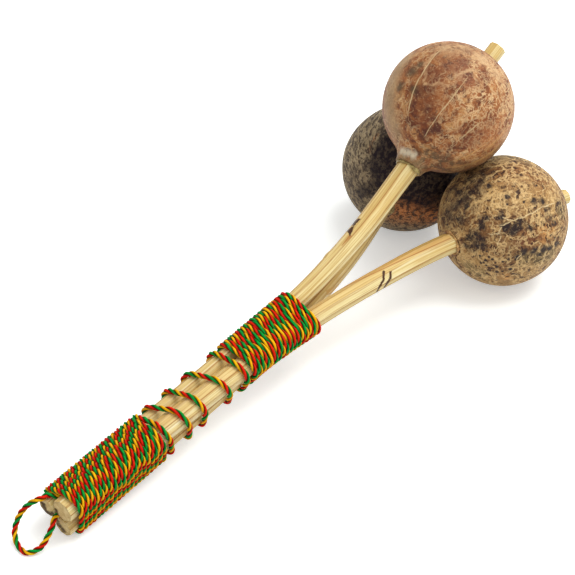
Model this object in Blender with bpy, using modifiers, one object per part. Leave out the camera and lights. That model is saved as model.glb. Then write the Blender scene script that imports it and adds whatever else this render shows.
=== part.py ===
"""Three nut-shell rattles on whittled sticks, bound into one handle with twisted cord.

Each hollow shell is pierced by its own stick, whose far end sticks out as a short stub.
The three sticks are bound side by side: a dense whipping at the butt, an open spiral over
the middle and a second dense whipping where they start to spread. One piece of cord makes
all of it, and its ends form a hanging loop at the butt. Loose seeds rattle in each shell.

The handle runs along +X and rises a little. It rests on its first turn of cord and on the
two lower shells, and the whole model is moved so that its box stands centred on the origin.
"""
import math

import bmesh
import bpy
import numpy as np
from mathutils import Matrix, Vector

MM = 0.001

# Fits
GAP = 0.3 * MM
SHELL_CONTACT = 0.3 * MM
SOCKET_CLEARANCE = 0.35 * MM
GLUE_CLEARANCE = 0.45 * MM

# Handle
HANDLE_SLOPE = 5.4
SPREAD = 0.9 * MM
END_CHAMFER = 0.7 * MM
STICK_SIDES = 8
STICK_STEP = 9.0 * MM
TWIST_KNOTS = 8
BUTT_TURN = 10.0
SPREAD_TURN = 44.0

# Sticks: radii over the corners at the butt, at the end of the binding, where the stick goes
# into its shell and at the stub. Then the angle of each around the handle (0 is -Y, 90 is up),
# which the twist of the bundle adds to, and the bow of the free length.
STICKS = {
    "top": {
        "butt_radius": 4.8 * MM,
        "bound_radius": 4.8 * MM,
        "entry_radius": 5.6 * MM,
        "stub_radius": 4.5 * MM,
        "stub_length": 7.4 * MM,
        "handle_angle": 162.0,
        "bow": (0.2 * MM, -1.9 * MM, -1.5 * MM),
    },
    "right": {
        "butt_radius": 5.75 * MM,
        "bound_radius": 5.2 * MM,
        "entry_radius": 5.5 * MM,
        "stub_radius": 4.0 * MM,
        "stub_length": 7.0 * MM,
        "handle_angle": 42.0,
        "bow": (0.15 * MM, 1.1 * MM, 1.0 * MM),
    },
    "left": {
        "butt_radius": 4.95 * MM,
        "bound_radius": 4.75 * MM,
        "entry_radius": 4.8 * MM,
        "stub_radius": 4.0 * MM,
        "stub_length": 6.5 * MM,
        "handle_angle": 282.0,
        "bow": (1.9 * MM, -2.4 * MM, 0.0),
    },
}

# Shells: matched nuts, each a little over or under the common radius. Then the distance of
# the centre beyond the binding along X, the way the stick runs through it, how far its line
# misses the centre, and the neck round the stick.
NUT_RADIUS = 32.8 * MM
SHELL_WALL = 2.4 * MM
NECK_WALL = 1.4 * MM
SHELL_SEGMENTS = 24
SHELL_RINGS = 12
SHELLS = {
    "top": {
        "over_common": -0.2 * MM,
        "beyond_binding": 114.8 * MM,
        "bore_yaw": -2.1,
        "bore_pitch": 30.1,
        "bore_offset": (0.0, -2.3 * MM, -0.2 * MM),
        "neck_length": 4.6 * MM,
        "neck_blend": 38.0,
    },
    "right": {
        "over_common": 0.0,
        "beyond_binding": 120.9 * MM,
        "bore_yaw": -16.0,
        "bore_pitch": 0.3,
        "bore_offset": (-0.3 * MM, -1.2 * MM, 0.1 * MM),
        "neck_length": 0.4 * MM,
        "neck_blend": 20.0,
    },
    "left": {
        "over_common": 0.3 * MM,
        "beyond_binding": 126.0 * MM,
        "bore_yaw": 18.6,
        "bore_pitch": 2.8,
        "bore_offset": (0.0, 0.0, 0.0),
        "neck_length": 0.6 * MM,
        "neck_blend": 22.0,
    },
}
PAIR_MIDDLE_Y = 1.1 * MM
GLUE_HEIGHT = 1.5 * MM

# Cord and its binding. The cord passes the sticks in this order, and its turns are counted
# from the middle of the straight run between the left and the top stick.
ORDER = ("top", "right", "left")
CORD_DIAMETER = 2.1 * MM
TURN_GAP = 0.5 * MM
WINDING_RESOLUTION = 1
CORNER_STEPS = 4
FIRST_TURN = 3.9 * MM
LOWER_TURNS = 22
UPPER_TURNS = 16
# Where a turn passes the top, the near side and the bottom, as shares of the turn. At these
# three the turns lean: how far each pass is ahead of an even winding, at the first and the last
# turn of each whipping.
TURN_FRACTIONS = (0.20, 0.485, 0.773)
LOWER_LEAN = ((1.3 * MM, -0.55 * MM, -0.4 * MM), (1.7 * MM, -1.3 * MM, 1.2 * MM))
UPPER_LEAN = ((-0.3 * MM, -1.8 * MM, 1.2 * MM), (0.1 * MM, 0.15 * MM, 1.0 * MM))
# The loose last turn of the lower whipping and the open spiral: the same three passes of each
# turn, from the end of the dense turns on.
OPEN_PASSES = (
    (2.3 * MM, 1.3 * MM, 6.5 * MM),
    (9.6 * MM, 13.3 * MM, 18.7 * MM),
    (22.7 * MM, 24.5 * MM, 28.4 * MM),
    (36.3 * MM, 40.2 * MM, 46.7 * MM),
    (53.3 * MM, 53.4 * MM, 57.1 * MM),
    (60.1 * MM, 59.0 * MM, 63.0 * MM),
)
OPEN_LENGTH = 62.5 * MM
FLOOR_FLAT = 0.1 * CORD_DIAMETER

# Hanging loop: points chosen by eye, measured from the middle of the butt
LOOP_POINTS = (
    (-1.65 * MM, 7.4 * MM, 7.0 * MM),
    (-3.15 * MM, 8.4 * MM, 6.5 * MM),
    (-5.15 * MM, 10.3 * MM, 5.1 * MM),
    (-7.6 * MM, 12.5 * MM, 2.1 * MM),
    (-10.6 * MM, 13.8 * MM, -2.3 * MM),
    (-14.0 * MM, 13.0 * MM, -8.1 * MM),
    (-16.7 * MM, 8.4 * MM, -11.0 * MM),
    (-17.0 * MM, 2.0 * MM, -11.2 * MM),
    (-12.9 * MM, -1.0 * MM, -9.8 * MM),
    (-6.8 * MM, -1.4 * MM, -5.0 * MM),
    (-3.6 * MM, -0.9 * MM, -1.9 * MM),
)
LOOP_MOUTH = 0.8 * MM
LOOP_STEP = 2.2 * CORD_DIAMETER
LOOP_RESOLUTION = 2
STRAIGHT_END = 0.5 * CORD_DIAMETER
TAIL_DEPTH = 9.0 * MM
TAIL_LEAVES = 0.9 * MM
TAIL_OVER_END = ((84.0, 3.0 * MM), (98.0, 1.0 * MM))
TUCK_LENGTH = 9.0 * MM

# Seeds: one in the middle of the hollow's floor and a ring round it
SEED_RADIUS = 3.2 * MM
SEED_APART = 0.8 * MM
SEED_RING = 4

SLOPE = math.radians(HANDLE_SLOPE)
CORD_RADIUS = CORD_DIAMETER / 2
PITCH = CORD_DIAMETER + TURN_GAP
CORNER_SHARE = math.cos(math.radians(60.0 / CORNER_STEPS))
DENSE_TURNS = LOWER_TURNS - 1
OPEN_TURNS = len(OPEN_PASSES) - 1
ALL_TURNS = LOWER_TURNS + OPEN_TURNS + UPPER_TURNS
DENSE_END = FIRST_TURN + DENSE_TURNS * PITCH
UPPER_START = DENSE_END + OPEN_LENGTH
BOUND_LENGTH = UPPER_START + UPPER_TURNS * PITCH


# The handle's own frame: X along it from the butt, Y as in the world, Z its upper side

def around(angle, distance, station=0.0):
    """A point beside the handle's axis: 0 degrees is -Y and 90 is the upper side."""
    turn = math.radians(angle)
    return Vector((station, -distance * math.cos(turn), distance * math.sin(turn)))


def bound_share(station, start=0.0):
    """How far a station is on its way through the binding, or through its last part."""
    return min(max((station - start) / (BOUND_LENGTH - start), 0.0), 1.0)


def bound_radius(name, station):
    """A stick's radius over its corners inside the binding."""
    stick = STICKS[name]
    return stick["butt_radius"] + (stick["bound_radius"] - stick["butt_radius"]) * bound_share(station)


def pack_radius(station):
    """How far the sticks' centre lines are from the handle's axis, where the two thickest touch."""
    largest_two = sorted(bound_radius(name, station) for name in STICKS)[1:]
    return (sum(largest_two) + GAP) / math.sqrt(3.0) + SPREAD * bound_share(station, UPPER_START) ** 2


def stick_place(name, station):
    """Where a stick's centre line passes a station of the binding. The bundle has a slow twist."""
    share = bound_share(station)
    twist = BUTT_TURN * (1 - share) ** 3 - SPREAD_TURN * share ** 4
    return around(STICKS[name]["handle_angle"] + twist, pack_radius(station), station)


def stick_reach(name, station, extra):
    """The stick's radius square to the handle, larger where it leans, with a distance added."""
    step = 0.5 * MM
    lean = (stick_place(name, station + step) - stick_place(name, station - step)).length / (2 * step)
    return bound_radius(name, station) * lean + extra


def flat_angle(first, second, station):
    """The angle that the straight run of cord between two sticks faces."""
    a, b = stick_place(first, station), stick_place(second, station)
    normal = Vector((0.0, b.z - a.z, a.y - b.y))
    if normal.dot(a + b) < 0:
        normal.negate()
    return math.degrees(math.atan2(normal.z, -normal.y))


def cord_point(name, angle, station):
    """A corner of the wound cord's centre line, round the outside of one stick."""
    reach = stick_reach(name, station, GAP + CORD_RADIUS) / CORNER_SHARE
    return stick_place(name, station) + around(angle, reach)


def corner_fractions():
    """The share of a turn at each of a corner's points, for the three corners in order."""
    mean = sum(stick["bound_radius"] for stick in STICKS.values()) / len(STICKS)
    arc = (mean + GAP + CORD_RADIUS) / CORNER_SHARE * math.radians(120.0)
    flat = pack_radius(UPPER_START) * math.sqrt(3.0)
    whole = 3 * (arc + flat)
    rows = []
    for corner in range(3):
        start = flat / 2 + corner * (arc + flat)
        rows.append([(start + arc * k / CORNER_STEPS) / whole for k in range(CORNER_STEPS + 1)])
    return rows


def leaning_turns(first_count, turns, start, leans):
    """Counts and stations of a whipping's passes, whose lean goes from its first turn's to its last's."""
    rows = []
    for turn in range(turns):
        share = min(turn / max(turns - 1, 1), 1.0)
        for fraction, first, last in zip(TURN_FRACTIONS, *leans):
            lean = first + (last - first) * share
            rows.append((first_count + turn + fraction, start + (turn + fraction) * PITCH + lean))
    return rows


def cord_stations():
    """Turn counts, and how far along the handle the cord has come at each."""
    rows = leaning_turns(0, DENSE_TURNS, FIRST_TURN, LOWER_LEAN)
    for turn, passes in enumerate(OPEN_PASSES):
        for fraction, reach in zip(TURN_FRACTIONS, passes):
            rows.append((DENSE_TURNS + turn + fraction, DENSE_END + reach))
    rows += leaning_turns(LOWER_TURNS + OPEN_TURNS, UPPER_TURNS, UPPER_START, UPPER_LEAN)
    before = [(count - 1, station - PITCH) for count, station in rows[:3]]
    after = [(count + 1, station + PITCH) for count, station in rows[-3:]]
    counts, stations = zip(*(before + rows + after))
    return counts, stations


def cord_line():
    """The whole binding's centre line as (turn count, point), and one turn more at each end."""
    counts, stations = cord_stations()
    fractions = corner_fractions()
    line = []
    for turn in range(-1, ALL_TURNS + 1):
        for corner, name in enumerate(ORDER):
            before, after = ORDER[corner - 1], ORDER[(corner + 1) % 3]
            for k, fraction in enumerate(fractions[corner]):
                station = float(np.interp(turn + fraction, counts, stations))
                first = flat_angle(before, name, station)
                sweep = (first - flat_angle(name, after, station)) % 360.0
                line.append((turn + fraction, cord_point(name, first - sweep * k / CORNER_STEPS, station)))
    return line


def winding_route(first, last):
    """The binding from one turn count to another, with the straight ends that meet its neighbours."""
    line = cord_line()
    inside = [point for count, point in line if first < count < last]
    before = [point for count, point in line if count < first][-1]
    after = [point for count, point in line if count > last][0]
    start = (before + inside[0]) / 2 + (inside[0] - before).normalized() * GAP / 2
    end = (inside[-1] + after) / 2 - (after - inside[-1]).normalized() * GAP / 2
    return [start] + inside + [end]


def least_gap(route, turns):
    """The smallest gap between a winding's turns, measured at its points."""
    line = np.array([tuple(point) for point in route])
    apart = (len(route) - 2) // turns - 3
    best = math.inf
    for i in range(len(line) - apart - 1):
        start = line[i + apart:-1]
        run = line[i + apart + 1:] - start
        share = ((line[i] - start) * run).sum(axis=1) / (run * run).sum(axis=1)
        nearest = start + run * np.clip(share, 0.0, 1.0)[:, None]
        best = min(best, np.linalg.norm(nearest - line[i], axis=1).min())
    return best - CORD_DIAMETER


def groove_point(first, second, station):
    """The centre of a cord that lies in the groove between two sticks."""
    a, b = stick_place(first, station), stick_place(second, station)
    reach_a = stick_reach(first, station, GAP + CORD_RADIUS)
    reach_b = stick_reach(second, station, GAP + CORD_RADIUS)
    span = (b - a).length
    foot = (reach_a ** 2 - reach_b ** 2 + span ** 2) / (2 * span)
    lift = math.sqrt(reach_a ** 2 - foot ** 2)
    return a + (b - a) / span * foot + around(flat_angle(first, second, station), lift)


def over_stick(name, angle, station):
    """The centre of a cord that lies on the outside of one stick."""
    return stick_place(name, station) + around(angle, stick_reach(name, station, GAP + CORD_RADIUS))


def handle_frame():
    """The handle's place: tilted, with its first turn of cord let into the floor by its flat."""
    tilt = Matrix.Rotation(-SLOPE, 4, "Y")
    sides = 4 + 2 * WINDING_RESOLUTION
    lowest = min((tilt @ point).z for count, point in cord_line() if 0 < count < 2)
    height = CORD_RADIUS * math.cos(math.pi / sides) - FLOOR_FLAT - lowest
    return Matrix.Translation((0.0, 0.0, height)) @ tilt


HANDLE = handle_frame()
BUTT = HANDLE.to_translation()
AXIS = HANDLE.to_3x3() @ Vector((1.0, 0.0, 0.0))


# The world frame: sticks, shells and loop

def aim(yaw, pitch):
    """A unit vector from a heading about Z and an angle above the floor."""
    flat = math.cos(math.radians(pitch))
    heading = math.radians(yaw)
    return Vector((flat * math.cos(heading), flat * math.sin(heading), math.sin(math.radians(pitch))))


def shell_radius(name):
    return NUT_RADIUS + SHELLS[name]["over_common"]


def shell_centres():
    """The two lower shells lie on the floor side by side, and the top one rests on both."""
    end = HANDLE @ Vector((BOUND_LENGTH, 0.0, 0.0))
    x = {name: end.x + shell["beyond_binding"] for name, shell in SHELLS.items()}
    radius = {name: shell_radius(name) for name in SHELLS}
    reach = radius["right"] + radius["left"] + SHELL_CONTACT
    apart = math.sqrt(reach ** 2 - (x["left"] - x["right"]) ** 2 - (radius["left"] - radius["right"]) ** 2)
    centre = {
        "right": Vector((x["right"], PAIR_MIDDLE_Y - apart / 2, radius["right"])),
        "left": Vector((x["left"], PAIR_MIDDLE_Y + apart / 2, radius["left"])),
    }
    circles = []
    for name in ("right", "left"):
        reach = radius["top"] + radius[name] + SHELL_CONTACT
        circles.append((centre[name].yz, math.sqrt(reach ** 2 - (x["top"] - x[name]) ** 2)))
    (a, reach_a), (b, reach_b) = circles
    span = (b - a).length
    foot = (reach_a ** 2 - reach_b ** 2 + span ** 2) / (2 * span)
    along = (b - a) / span
    seat = a + along * foot + Vector((-along.y, along.x)) * math.sqrt(reach_a ** 2 - foot ** 2)
    centre["top"] = Vector((x["top"], seat.x, seat.y))
    return centre


CENTRES = shell_centres()


def bore_line(name):
    """The point of a stick's line that is nearest its shell's centre, and the way it runs."""
    shell = SHELLS[name]
    direction = aim(shell["bore_yaw"], shell["bore_pitch"])
    offset = Vector(shell["bore_offset"])
    offset -= offset.dot(direction) * direction
    return CENTRES[name] + offset, direction


def along_bore(name, reach):
    """The distance from the bore line's middle to a sphere of the given radius."""
    return math.sqrt(reach ** 2 - (bore_line(name)[0] - CENTRES[name]).length_squared)


def neck_tip(name):
    """The distance of the neck's flat end from the shell's centre."""
    return shell_radius(name) + SHELLS[name]["neck_length"]


def entry_point(name):
    """Where the stick goes into the shell's neck."""
    middle, direction = bore_line(name)
    return middle - direction * along_bore(name, neck_tip(name))


def stub_end(name):
    """The sawn end of the stick beyond the shell."""
    middle, direction = bore_line(name)
    return middle + direction * (along_bore(name, shell_radius(name)) + STICKS[name]["stub_length"])


def taper_length(name):
    """The stick tapers from its entry to where the stub comes out."""
    return (stub_end(name) - entry_point(name)).length - STICKS[name]["stub_length"]


def hermite(p0, p1, m0, m1, t):
    """One point of a cubic between two points with given end slopes."""
    return (
        p0 * (2 * t ** 3 - 3 * t ** 2 + 1)
        + m0 * (t ** 3 - 2 * t ** 2 + t)
        + p1 * (-2 * t ** 3 + 3 * t ** 2)
        + m1 * (t ** 3 - t ** 2)
    )


def smooth_path(knots, headings, step):
    """Points along a smooth curve through the knots. A heading of None follows the neighbours."""
    spans = [(b - a).length for a, b in zip(knots, knots[1:])]
    slopes = []
    for i, heading in enumerate(headings):
        if heading is None:
            before = (knots[i] - knots[i - 1]) / spans[i - 1]
            after = (knots[i + 1] - knots[i]) / spans[i]
            heading = (before * spans[i] + after * spans[i - 1]) / (spans[i - 1] + spans[i])
        slopes.append(heading)
    points = [knots[0]]
    for i, span in enumerate(spans):
        count = max(1, round(span / step))
        for k in range(1, count + 1):
            points.append(hermite(knots[i], knots[i + 1], slopes[i] * span, slopes[i + 1] * span, k / count))
    return points


def stick_path(name, step):
    """A stick's centre line, from its butt to its stub."""
    start = HANDLE @ stick_place(name, 0.0)
    knots = [start]
    for k in range(1, TWIST_KNOTS + 1):
        knots.append(HANDLE @ stick_place(name, BOUND_LENGTH * k / TWIST_KNOTS))
    entry, direction = entry_point(name), bore_line(name)[1]
    knots += [(knots[-1] + entry) / 2 + Vector(STICKS[name]["bow"]), entry, stub_end(name)]
    headings = [AXIS] + [None] * (TWIST_KNOTS + 1) + [direction, direction]
    return smooth_path(knots, headings, step)


def stick_radius(name, point):
    """The stick swells or thins along its free length, and tapers inside the shell."""
    stick, entry = STICKS[name], entry_point(name)
    inside = (point - entry).dot(bore_line(name)[1])
    if inside > 0.0:
        share = min(inside / taper_length(name), 1.0)
        return stick["entry_radius"] + (stick["stub_radius"] - stick["entry_radius"]) * share
    station = (point - BUTT).dot(AXIS)
    if station < BOUND_LENGTH:
        return bound_radius(name, station)
    share = (station - BOUND_LENGTH) / ((entry - BUTT).dot(AXIS) - BOUND_LENGTH)
    return stick["bound_radius"] + (stick["entry_radius"] - stick["bound_radius"]) * min(share, 1.0)


def loop_path():
    """The free loop, from over the top stick's end to the middle of the butt, with straight ends."""
    knots = [BUTT + Vector(point) for point in LOOP_POINTS]
    first = (knots[1] - knots[0]).normalized()
    knots.insert(1, knots[0] + first * STRAIGHT_END)
    knots += [BUTT - AXIS * (LOOP_MOUTH + STRAIGHT_END), BUTT - AXIS * LOOP_MOUTH]
    headings = [first, first] + [None] * (len(knots) - 4) + [AXIS, AXIS]
    return smooth_path(knots, headings, LOOP_STEP)


def upper_tail_path():
    """From the groove under the first turns, over the top stick's end, to the loop's start."""
    loop = loop_path()
    heading = (loop[1] - loop[0]).normalized()
    end = loop[0] - heading * GAP
    knots = [
        HANDLE @ groove_point("top", "right", FIRST_TURN + TAIL_DEPTH),
        HANDLE @ groove_point("top", "right", FIRST_TURN + 0.5 * TAIL_DEPTH),
        HANDLE @ groove_point("top", "right", FIRST_TURN + TAIL_LEAVES),
    ]
    knots += [HANDLE @ over_stick("top", angle, station) for angle, station in TAIL_OVER_END]
    knots += [end - heading * STRAIGHT_END, end]
    headings = [-AXIS, -AXIS] + [None] * (len(knots) - 4) + [heading, heading]
    return smooth_path(knots, headings, LOOP_STEP)


def centre_tail_path():
    """The loop's other end, tucked into the middle of the butt."""
    mouth = BUTT - AXIS * (LOOP_MOUTH - GAP)
    return [mouth + AXIS * TUCK_LENGTH * k / 2 for k in range(3)]


def material(name, colour, roughness, transmission=0.0):
    """A plain Principled material."""
    made = bpy.data.materials.new(name)
    made.use_nodes = True
    shader = made.node_tree.nodes["Principled BSDF"]
    shader.inputs["Base Color"].default_value = (*colour, 1.0)
    shader.inputs["Roughness"].default_value = roughness
    shader.inputs["Metallic"].default_value = 0.0
    shader.inputs["Transmission Weight"].default_value = transmission
    return made


def add_object(name, data, collection, parent):
    made = bpy.data.objects.new(name, data)
    collection.objects.link(made)
    made.parent = parent
    return made


def add_empty(name, parent, frame):
    made = add_object(name, None, bpy.context.scene.collection, parent)
    made.matrix_local = frame
    bpy.context.view_layer.update()
    return made


def mesh_from(name, work):
    """Write a bmesh into a new mesh."""
    mesh = bpy.data.meshes.new(name)
    work.to_mesh(mesh)
    work.free()
    return mesh


def hide_guide(guide):
    guide.hide_render = True
    guide.display_type = "WIRE"


def frame_along(direction, place):
    """Local +Z runs along the direction, and local +X faces as far down as it can."""
    z_axis = Vector(direction).normalized()
    y_axis = z_axis.cross(Vector((0.0, 0.0, -1.0))).normalized()
    x_axis = y_axis.cross(z_axis)
    turn = Matrix((x_axis, y_axis, z_axis)).transposed().to_4x4()
    return Matrix.Translation(place) @ turn


def poly_curve(name, points, collection, parent, origin):
    """A polyline with filled caps, whose points are stored from the object's own origin."""
    data = bpy.data.curves.new(name, "CURVE")
    data.dimensions = "3D"
    data.use_fill_caps = True
    line = data.splines.new("POLY")
    line.points.add(len(points) - 1)
    for slot, point in zip(line.points, points):
        slot.co = (*(point - origin), 1.0)
    made = add_object(name, data, collection, parent)
    made.location = origin
    return made


def tube(name, points, resolution, collection, parent, origin, finish):
    """A round cord through the points."""
    made = poly_curve(name, points, collection, parent, origin)
    made.data.bevel_depth = CORD_RADIUS
    made.data.bevel_resolution = resolution
    made.data.materials.append(finish)
    return made


def as_mesh(curve_object, finish):
    """The curve's solid as a mesh object under the same name and place, so that it can be cut."""
    bpy.context.view_layer.update()
    graph = bpy.context.evaluated_depsgraph_get()
    mesh = bpy.data.meshes.new_from_object(curve_object.evaluated_get(graph))
    work = bmesh.new()
    work.from_mesh(mesh)
    bmesh.ops.remove_doubles(work, verts=work.verts, dist=1e-6)
    bmesh.ops.recalc_face_normals(work, faces=work.faces)
    work.to_mesh(mesh)
    work.free()
    mesh.materials.clear()
    mesh.materials.append(finish)
    name, place = curve_object.name, curve_object.matrix_world.copy()
    collection, parent = curve_object.users_collection[0], curve_object.parent
    bpy.data.objects.remove(curve_object)
    made = add_object(name, mesh, collection, parent)
    made.matrix_world = place
    return made


def cut(target, cutter, label):
    step = target.modifiers.new(label, "BOOLEAN")
    step.operation = "DIFFERENCE"
    step.object = cutter


def cone_cutter(name, place, direction, near_radius, far_radius, length, cutters, parent):
    """A tapered round cutter that starts at the place and runs along the direction."""
    work = bmesh.new()
    bmesh.ops.create_cone(
        work, cap_ends=True, segments=SHELL_SEGMENTS, radius1=near_radius, radius2=far_radius, depth=length
    )
    bmesh.ops.translate(work, verts=work.verts, vec=(0.0, 0.0, length / 2))
    made = add_object(name, mesh_from(name, work), cutters, parent)
    made.matrix_world = frame_along(direction, place)
    hide_guide(made)
    return made


def section_profile(cutters):
    """A regular section of radius 1, which each stick's own radii scale."""
    data = bpy.data.curves.new("stick_section", "CURVE")
    data.dimensions = "2D"
    line = data.splines.new("POLY")
    line.points.add(STICK_SIDES - 1)
    line.use_cyclic_u = True
    for k, slot in enumerate(line.points):
        turn = 2 * math.pi * k / STICK_SIDES
        slot.co = (math.cos(turn), math.sin(turn), 0.0, 1.0)
    made = add_object("stick_section", data, cutters, None)
    hide_guide(made)
    return made


def make_stick(name, section, parts, parent, finish):
    """A whittled stick: an eight-sided section swept along its bent line, with chamfered ends."""
    path = stick_path(name, STICK_STEP)
    radii = [stick_radius(name, point) for point in path]
    path.insert(1, path[0] + AXIS * END_CHAMFER)
    radii.insert(0, radii[0] - END_CHAMFER)
    inset = (path[-2] - path[-1]).normalized() * END_CHAMFER
    path.insert(-1, path[-1] + inset)
    radii.append(radii[-1] - END_CHAMFER)
    made = poly_curve("stick_" + name, path, parts, parent, path[0])
    made.data.bevel_mode = "OBJECT"
    made.data.bevel_object = section
    for slot, radius in zip(made.data.splines[0].points, radii):
        slot.radius = radius
    return as_mesh(made, finish)


def turned(name, profile, closed, parts, parent, frame, finish):
    """A profile of (radius, height) points turned about its own Z axis."""
    mesh = bpy.data.meshes.new(name)
    edges = [(k, k + 1) for k in range(len(profile) - 1)]
    if closed:
        edges.append((len(profile) - 1, 0))
    mesh.from_pydata([(radius, 0.0, height) for radius, height in profile], edges, [])
    mesh.materials.append(finish)
    made = add_object(name, mesh, parts, parent)
    made.matrix_world = frame
    screw = made.modifiers.new("turned", "SCREW")
    screw.axis = "Z"
    screw.steps = SHELL_SEGMENTS
    screw.render_steps = SHELL_SEGMENTS
    screw.use_merge_vertices = True
    screw.merge_threshold = 1e-5
    return made


def neck_direction(name):
    return (entry_point(name) - CENTRES[name]).normalized()


def neck_radius(name):
    return STICKS[name]["entry_radius"] + GAP + NECK_WALL


def ball_arc(radius, start, end, rings):
    """Points down the side of a ball from one angle off its axis to another, without the last."""
    turns = [start + (end - start) * k / rings for k in range(rings)]
    return [(radius * math.sin(turn), radius * math.cos(turn)) for turn in turns]


def shell_profile(name):
    """From the neck's flat end down its blend into the ball, through its lowest point, to the far pole."""
    radius, blend = shell_radius(name), math.radians(SHELLS[name]["neck_blend"])
    start = Vector((neck_radius(name), neck_tip(name)))
    end = Vector((radius * math.sin(blend), radius * math.cos(blend)))
    pull = 0.45 * (end - start).length
    leave = start + Vector((0.25, -0.97)) * pull
    arrive = end - Vector((math.cos(blend), -math.sin(blend))) * pull
    points = [(0.0, start.y)]
    for t in (0.0, 0.25, 0.5, 0.75):
        near = start * (1 - t) ** 3 + leave * 3 * t * (1 - t) ** 2
        far = arrive * 3 * t ** 2 * (1 - t) + end * t ** 3
        points.append(tuple(near + far))
    lowest = neck_direction(name).angle(Vector((0.0, 0.0, -1.0)))
    upper_rings = max(1, round(SHELL_RINGS * (lowest - blend) / math.pi))
    lower_rings = max(1, round(SHELL_RINGS * (math.pi - lowest) / math.pi))
    points += ball_arc(radius, blend, lowest, upper_rings)
    points += ball_arc(radius, lowest, math.pi, lower_rings)
    points.append((0.0, -radius))
    return points


def make_shell(name, parts, cutters, parent, finish):
    """A hollow nut shell, drilled right through for its stick."""
    frame = frame_along(neck_direction(name), CENTRES[name])
    made = turned("shell_" + name, shell_profile(name), False, parts, parent, frame, finish)
    work = bmesh.new()
    inner = shell_radius(name) - SHELL_WALL
    bmesh.ops.create_uvsphere(work, u_segments=SHELL_SEGMENTS - 4, v_segments=SHELL_RINGS, radius=inner)
    hollow = add_object("hollow_" + name, mesh_from("hollow_" + name, work), cutters, parent)
    hollow.location = CENTRES[name]
    hide_guide(hollow)
    cut(made, hollow, "hollow")

    stick, direction = STICKS[name], bore_line(name)[1]
    run_out = 4.0 * MM
    tapered = taper_length(name)
    slope = (stick["stub_radius"] - stick["entry_radius"]) / tapered
    start = entry_point(name) - direction * run_out
    near, far = stick["entry_radius"] + GAP - slope * run_out, stick["stub_radius"] + GAP
    bore = cone_cutter("bore_" + name, start, direction, near, far, tapered + run_out, cutters, parent)
    cut(made, bore, "bore")
    start += direction * tapered
    near = far - slope * run_out
    outlet = cone_cutter("outlet_" + name, start, direction, near, far, 3 * run_out, cutters, parent)
    cut(made, outlet, "outlet")


def make_glue(name, parts, parent, finish):
    """A ring of glue round the stick, seated on the neck's flat end."""
    inner, outer = STICKS[name]["entry_radius"] + GLUE_CLEARANCE, neck_radius(name)
    base = neck_tip(name) + GAP
    top = base + GLUE_HEIGHT
    soft = 0.3 * GLUE_HEIGHT
    profile = ((inner, top), (outer - soft, top), (outer, top - soft), (outer, base), (inner, base))
    frame = frame_along(neck_direction(name), CENTRES[name])
    turned("glue_" + name, profile, True, parts, parent, frame, finish)


def make_windings(parts, cutters, handle, finish):
    """The three windings, one unbroken tube each, ending face to face."""
    seams = {
        "lower_whipping": (0, LOWER_TURNS),
        "spiral_wrap": (LOWER_TURNS, LOWER_TURNS + OPEN_TURNS),
        "upper_whipping": (LOWER_TURNS + OPEN_TURNS, ALL_TURNS),
    }
    origin = Vector((0.0, 0.0, 0.0))
    made = {}
    for name, (first, last) in seams.items():
        route = winding_route(first, last)
        made[name] = tube(name, route, WINDING_RESOLUTION, parts, handle, origin, finish)
        gap = least_gap(route, last - first)
        print("%s: %d turns, least gap to itself %.2f mm" % (name, last - first, gap / MM))

    lower = as_mesh(made["lower_whipping"], finish)
    largest = max(stick["butt_radius"] for stick in STICKS.values())
    reach = 2 * (pack_radius(0.0) + CORD_DIAMETER) + 4 * largest
    work = bmesh.new()
    bmesh.ops.create_cube(work, size=reach)
    floor = add_object("floor_block", mesh_from("floor_block", work), cutters, None)
    floor.location = (reach / 4, 0.0, -reach / 2)
    hide_guide(floor)
    cut(lower, floor, "stand")
    return floor


def make_loop(sticks, parts, cutters, parent, finish):
    """The hanging loop on its swing axis, and its two ends, one under the turns and one in the butt."""
    loop = loop_path()
    pivot = add_empty("loop_pivot", parent, Matrix.Translation((loop[0] + loop[-1]) / 2))
    made = tube("hanging_loop", loop, LOOP_RESOLUTION, parts, parent, pivot.location, finish)
    made.parent = pivot
    made.location = (0.0, 0.0, 0.0)
    upper, centre = upper_tail_path(), centre_tail_path()
    tube("loop_tail_upper", upper, LOOP_RESOLUTION, parts, parent, upper[0], finish)
    tube("loop_tail_centre", centre, LOOP_RESOLUTION, parts, parent, centre[0], finish)
    radius = CORD_RADIUS + SOCKET_CLEARANCE
    depth = TUCK_LENGTH + CORD_DIAMETER
    start = BUTT - AXIS * CORD_DIAMETER
    socket = cone_cutter("cord_socket", start, AXIS, radius, radius, depth, cutters, parent)
    for stick in sticks:
        cut(stick, socket, "socket")


def seed_places():
    """Lateral offsets of the seeds from the middle of the hollow's floor."""
    spacing = 2 * SEED_RADIUS + SEED_APART
    turns = [math.pi / 4 + 2 * math.pi * k / SEED_RING for k in range(SEED_RING)]
    return [(0.0, 0.0)] + [(spacing * math.cos(turn), spacing * math.sin(turn)) for turn in turns]


def seed_travel(name, x, y):
    """A seed's start below its shell's centre, and how far it can jump from there."""
    room = shell_radius(name) - SHELL_WALL - GAP - SEED_RADIUS
    drop = math.sqrt(room ** 2 - x ** 2 - y ** 2)
    middle, direction = bore_line(name)
    level = direction.xy.length
    offset = CENTRES[name].xy + Vector((x, y)) - middle.xy
    miss = abs(direction.xy.cross(offset)) / level
    reach = max(STICKS[name]["entry_radius"], STICKS[name]["stub_radius"]) + GAP + SEED_RADIUS
    if miss >= reach:
        return drop, 2 * drop
    stick_height = middle.z + direction.z * direction.xy.dot(offset) / level ** 2 - CENTRES[name].z
    return drop, drop + stick_height - math.sqrt(reach ** 2 - miss ** 2) / level


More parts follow.
